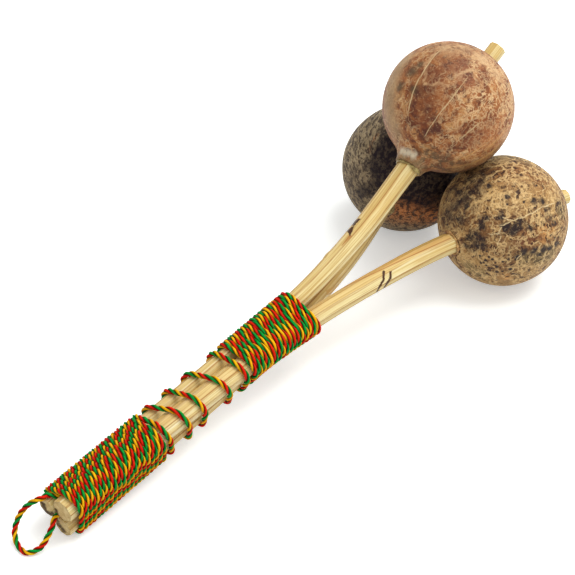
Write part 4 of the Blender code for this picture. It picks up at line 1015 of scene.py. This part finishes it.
def make_stick(name, wood, end_grain):
    """A whittled stick whose facets wander a little, with crisp cut edges and rough sawn ends."""
    chamfer = 0.18 * MM
    path = stick_path(name, 0.75 * MM)
    radii = [stick_radius(name, point) for point in path]
    path.insert(1, path[0] + (path[1] - path[0]).normalized() * chamfer)
    path.insert(-1, path[-1] + (path[-2] - path[-1]).normalized() * chamfer)
    radii = np.array([radii[0], radii[0]] + radii[1:-1] + [radii[-1], radii[-1]])
    points = np.array([tuple(point) for point in path])
    tangent, side, up = transported(points)
    length = along(points)
    end_corner, facet_tone = facet_corners(name, radii, length)
    start_corner = np.roll(end_corner, 1, axis=1)
    for row, depth in ((0, chamfer), (len(radii) - 1, 0.6 * chamfer)):
        share = 1 - depth / radii[row]
        end_corner[row] *= share
        start_corner[row] *= share
    edge = end_corner - start_corner
    inset = 0.2 * MM / np.linalg.norm(edge, axis=2, keepdims=True)
    section = [start_corner + edge * share for share in (inset, 0.33, 0.67, 1 - inset)]
    section = np.stack(section, axis=2).reshape(len(points), -1, 2)
    around_count = section.shape[1]
    vertices = points[:, None] + section[:, :, :1] * side[:, None] + section[:, :, 1:] * up[:, None]
    for place, reach, height in NOTCHES.get(name, ()):
        far = np.linalg.norm(vertices - np.array(place), axis=2, keepdims=True)
        lift = np.clip(1 - far / reach, 0.0, 1.0) ** 0.7 * height
        vertices += (vertices - points[:, None]) / radii[:, None, None] * lift
    grain = np.concatenate([section, np.repeat(length[:, None, None], around_count, axis=1)], axis=2)
    grain[:, :, 0] += 0.1 * (1 + ORDER.index(name))
    corner = np.tile([1.0, 0.0, 0.0, 1.0], len(points) * around_count // 4)
    corner *= np.repeat(np.clip((length[-1] - length) / (6 * MM) - 0.4, 0.0, 1.0), around_count)
    # Facet tone: 35% the facet's own random tone and 65% painted light; facets that face the painted light way get a
    # lower tone, which the wood material paints paler.
    middle = len(points) // 2
    painted_light_facing = (end_corner[middle] + start_corner[middle]) @ np.stack([side[middle], up[middle]]) @ np.array(PAINTED_LIGHT_WAY)
    painted_light_facing = np.clip(painted_light_facing / np.abs(painted_light_facing).max(), 0.0, 1.0)
    tone = np.tile(np.repeat(0.35 * facet_tone + 0.65 * (1 - painted_light_facing), 4), len(points))
    vertices, grain = list(vertices.reshape(-1, 3)), list(grain.reshape(-1, 3))
    corner, tone = list(corner), list(tone)
    faces, slots = [], []
    for i in range(len(points) - 1):
        for k in range(around_count):
            a, b = i * around_count + k, i * around_count + (k + 1) % around_count
            faces.append((a, b, b + around_count, a + around_count))
            slots.append(0)
    seed = 3.0 + ORDER.index(name)
    for row, way in ((0, -1.0), (len(points) - 1, 1.0)):
        ring = [row * around_count + k for k in range(around_count)]
        for share in (0.9, 0.72, 0.5, 0.25):
            base = len(vertices)
            for k in range(around_count):
                flat = section[row, k] * share
                rough = noise.noise(Vector((flat[0] * 300, flat[1] * 300, seed + way))) * 0.35 * MM * (1 - share ** 4)
                vertices.append(points[row] + side[row] * flat[0] + up[row] * flat[1] + tangent[row] * rough)
                grain.append((flat[0] + 0.1 * seed, flat[1], 0.02 * way))
                corner.append(0.0)
                tone.append(0.5)
            for k in range(around_count):
                quad = (ring[k], ring[(k + 1) % around_count], base + (k + 1) % around_count, base + k)
                faces.append(quad if way > 0 else quad[::-1])
                slots.append(1)
            ring = list(range(base, base + around_count))
        vertices.append(points[row] + tangent[row] * way * 0.0)
        grain.append((0.1 * seed, 0.0, 0.02 * way))
        corner.append(0.0)
        tone.append(0.5)
        for k in range(around_count):
            fan = (ring[k], ring[(k + 1) % around_count], len(vertices) - 1)
            faces.append(fan if way > 0 else fan[::-1])
            slots.append(1)
    made = new_mesh(
        "whittled_stick_" + name, vertices, faces, [wood, end_grain], "rattle", slots,
        {"grain": grain, "corner": corner, "tone": tone})
    made.data.set_sharp_from_angle(angle=math.radians(15.0))
    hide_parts("stick_" + name)
    return made


def neck_profile(name):
    """(distance from the axis, height from the centre) down the shell's side."""
    shell, stick = SHELLS[name], STICKS[name]
    blend, radius = math.radians(shell["blend"]), shell["radius"]
    start = Vector((stick["entry_radius"] + NECK_WALL, radius + shell["neck"]))
    end = Vector((radius * math.sin(blend), radius * math.cos(blend)))
    pull = 0.45 * (end - start).length
    leave = start + Vector((0.25, -0.97)) * pull
    arrive = end - Vector((math.cos(blend), -math.sin(blend))) * pull
    inner = stick["entry_radius"] * 0.9
    points = [Vector((inner, start.y)), Vector(((inner + start.x) / 2, start.y)), Vector((start.x - 0.4 * MM, start.y))]
    for k in range(16):
        t = k / 16
        near = start * (1 - t) ** 3 + leave * 3 * t * (1 - t) ** 2
        points.append(near + arrive * 3 * t ** 2 * (1 - t) + end * t ** 3)
    rings = 80
    for k in range(rings):
        turn = blend + (math.pi - 0.002 - blend) * k / (rings - 1)
        points.append(Vector((radius * math.sin(turn), radius * math.cos(turn))))
    return points


def shell_frame(name):
    """Three directions of a shell: two across, and the way to its stick's entry."""
    axis = (STICKS[name]["entry"] - SHELLS[name]["centre"]).normalized()
    side = axis.cross(Vector((0.0, 0.0, -1.0))).normalized()
    return side.cross(axis), side, axis


def make_shell(name, finish):
    segments = 168
    centre, radius = SHELLS[name]["centre"], SHELLS[name]["radius"]
    other, side, axis = shell_frame(name)
    seed = 40.0 + ORDER.index(name) * 17.0
    profile = neck_profile(name)
    vertices, local, fibre, faces = [], [], [], []
    for point in profile:
        off = math.atan2(point.x, point.y)
        for k in range(segments):
            turn = 2 * math.pi * k / segments
            here = Vector((math.cos(turn) * point.x, math.sin(turn) * point.x, point.y))
            lump = noise.noise(here * 42.0 + Vector((seed, 0.0, 0.0))) * 0.28
            lump += noise.noise(here * 130.0 + Vector((seed, 3.0, 0.0))) * 0.07
            here += here.normalized() * lump * MM * min(point.x / (9 * MM), 1.0)
            vertices.append(centre + other * here.x + side * here.y + axis * here.z)
            local.append(tuple(here))
            fibre.append((radius * math.cos(turn), radius * math.sin(turn), 0.12 * radius * off))
    for i in range(len(profile) - 1):
        for k in range(segments):
            a, b = i * segments + k, i * segments + (k + 1) % segments
            faces.append((a, a + segments, b + segments, b))
    faces.append(tuple((len(profile) - 1) * segments + k for k in reversed(range(segments))))
    made = new_mesh("nut_shell_" + name, vertices, faces, [finish], "rattle", None, {"local": local, "fibre": fibre})
    work = bmesh.new()
    work.from_mesh(made.data)
    bmesh.ops.recalc_face_normals(work, faces=work.faces)
    work.to_mesh(made.data)
    work.free()
    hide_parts("shell_" + name)
    return made


def make_bead(name, finish, height, drop):
    """An uneven ring of glue round the stick, with a drop of it on one side."""
    segments, sides = 72, 14
    other, side, axis = shell_frame(name)
    base = SHELLS[name]["centre"] + axis * (SHELLS[name]["radius"] + SHELLS[name]["neck"] + 0.55 * MM)
    stick = STICKS[name]["entry_radius"]
    seed = 70.0 + ORDER.index(name) * 9.0
    vertices, local, faces = [], [], []
    for i in range(segments):
        turn = 2 * math.pi * i / segments
        swell = noise.noise(Vector((math.cos(turn) * 1.6, math.sin(turn) * 1.6, seed)))
        nearness = max(0.0, math.cos(turn - math.radians(drop))) ** 6
        thick = (0.55 + 0.45 * swell + 0.55 * nearness) * MM
        tall = (0.6 + 0.8 * swell + 0.5 * nearness) * MM * height
        for k in range(sides):
            angle = 2 * math.pi * k / sides
            grit = 1 + 0.16 * noise.noise(Vector((turn * 6.0, angle * 2.0, seed)))
            reach = stick + 0.35 * MM + thick * math.cos(angle) * grit
            rise = tall * math.sin(angle) * grit
            here = Vector((math.cos(turn) * reach, math.sin(turn) * reach, rise))
            vertices.append(base + other * here.x + side * here.y + axis * here.z)
            local.append(tuple(here))
            a, b = i * sides + k, i * sides + (k + 1) % sides
            c, d = (i + 1) % segments * sides + k, (i + 1) % segments * sides + (k + 1) % sides
            faces.append((a, c, d, b))
    made = new_mesh("glue_bead_" + name, vertices, faces, [finish], "rattle", None, {"local": local})
    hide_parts("glue_" + name)


def make_floor():
    """A white floor that keeps the object's soft shadow."""
    mesh = bpy.data.meshes.new("floor")
    size = 3.0
    mesh.from_pydata([(-size, -size, 0), (size, -size, 0), (size, size, 0), (-size, size, 0)], [], [(0, 1, 2, 3)])
    s = Shader("floor_white")
    path = s.add("ShaderNodeLightPath")
    seen = s.most(path.outputs["Is Camera Ray"], path.outputs["Is Glossy Ray"], path.outputs["Is Transmission Ray"])
    tone = s.mix(seen, (0.75, 0.75, 0.75), (0.96, 0.985, 0.97))
    s.finish(tone, 0.8, Specular_IOR_Level=0.0, Emission_Strength=s.times(seen, FLOOR_GLOW))
    s.main.inputs["Emission Color"].default_value = (1.0, 1.0, 1.0, 1.0)
    mesh.materials.append(s.material)
    made = bpy.data.objects.new("floor", mesh)
    bpy.context.scene.collection.objects.link(made)
    made.location.z = -0.0002


FLOOR_GLOW = 0.35
WORLD_LIGHT = (0.26, 0.86)
BRIGHT_WAY = Vector((-0.06, -0.60, 0.58))
KEY_WAY = Vector((0.36, -0.24, 0.90))


def make_lights():
    """A soft room, brighter above and on the right, and one large lamp from there."""
    world = bpy.data.worlds.new("studio")
    world.use_nodes = True
    tree = world.node_tree
    light = tree.nodes["Background"]
    light.inputs["Color"].default_value = (1.0, 1.0, 1.0, 1.0)
    toward = tree.nodes.new("ShaderNodeTexCoord")
    across = tree.nodes.new("ShaderNodeVectorMath")
    across.operation = "DOT_PRODUCT"
    across.inputs[1].default_value = BRIGHT_WAY.normalized()
    share = tree.nodes.new("ShaderNodeMapRange")
    share.inputs["From Min"].default_value = -1.0
    share.inputs["To Min"].default_value = WORLD_LIGHT[0]
    share.inputs["To Max"].default_value = WORLD_LIGHT[1]
    tree.links.new(toward.outputs["Generated"], across.inputs[0])
    tree.links.new(across.outputs["Value"], share.inputs["Value"])
    tree.links.new(share.outputs["Result"], light.inputs["Strength"])
    shown = tree.nodes.new("ShaderNodeBackground")
    shown.inputs["Strength"].default_value = 1.0
    path = tree.nodes.new("ShaderNodeLightPath")
    first, second = tree.nodes.new("ShaderNodeMath"), tree.nodes.new("ShaderNodeMath")
    first.operation = second.operation = "MAXIMUM"
    blend = tree.nodes.new("ShaderNodeMixShader")
    tree.links.new(path.outputs["Is Camera Ray"], first.inputs[0])
    tree.links.new(path.outputs["Is Glossy Ray"], first.inputs[1])
    tree.links.new(first.outputs[0], second.inputs[0])
    tree.links.new(path.outputs["Is Transmission Ray"], second.inputs[1])
    tree.links.new(second.outputs[0], blend.inputs[0])
    tree.links.new(light.outputs[0], blend.inputs[1])
    tree.links.new(shown.outputs[0], blend.inputs[2])
    tree.links.new(blend.outputs[0], tree.nodes["World Output"].inputs["Surface"])
    bpy.context.scene.world = world
    for name, way, distance, size, power in (
        ("key", KEY_WAY, 1.25, 0.9, 12.0),
    ):
        light = bpy.data.lights.new(name, "AREA")
        light.size = size
        light.energy = power
        lamp = bpy.data.objects.new(name, light)
        bpy.context.scene.collection.objects.link(lamp)
        lamp.location = TARGET + way.normalized() * distance
        lamp.rotation_euler = way.to_track_quat("Z", "Y").to_euler()


def main():
    bpy.context.scene.view_settings.view_transform = "Standard"
    make_camera()
    strands = [
        strand_material("red_strand", (0.94, 0.022, 0.002), (0.48, 0.006, 0.002)),
        strand_material("gold_strand", (1.0, 0.61, 0.004), (0.78, 0.29, 0.002)),
        strand_material("green_strand", (0.003, 0.44, 0.055), (0.001, 0.16, 0.020)),
    ]
    make_loop([strands[0], strands[2], strands[1]])
    make_binding(strands)
    wood = wood_material()
    for name in ORDER:
        make_stick(name, wood, end_grain_material("sawn_end_" + name, END_DARK_PATCHES[name]))
    make_shell("top", red_brown_nut())
    make_shell("right", tan_nut())
    make_shell("left", dark_nut())
    make_bead("top", bead_material("olive_glue", (0.52, 0.41, 0.15), (0.24, 0.155, 0.050), 0.1), 0.9, 108.0)
    make_bead("right", bead_material("orange_glue", (0.66, 0.40, 0.15), (0.26, 0.12, 0.045), 0.0), 0.8, -150.0)
    make_bead("left", bead_material("straw_glue", (0.46, 0.36, 0.15), (0.20, 0.13, 0.05), 0.0), 0.9, 60.0)
    seed = seed_material()
    for name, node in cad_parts.items():
        if name.startswith("seed"):
            node.data.materials[0] = seed
    make_floor()
    make_lights()


main()
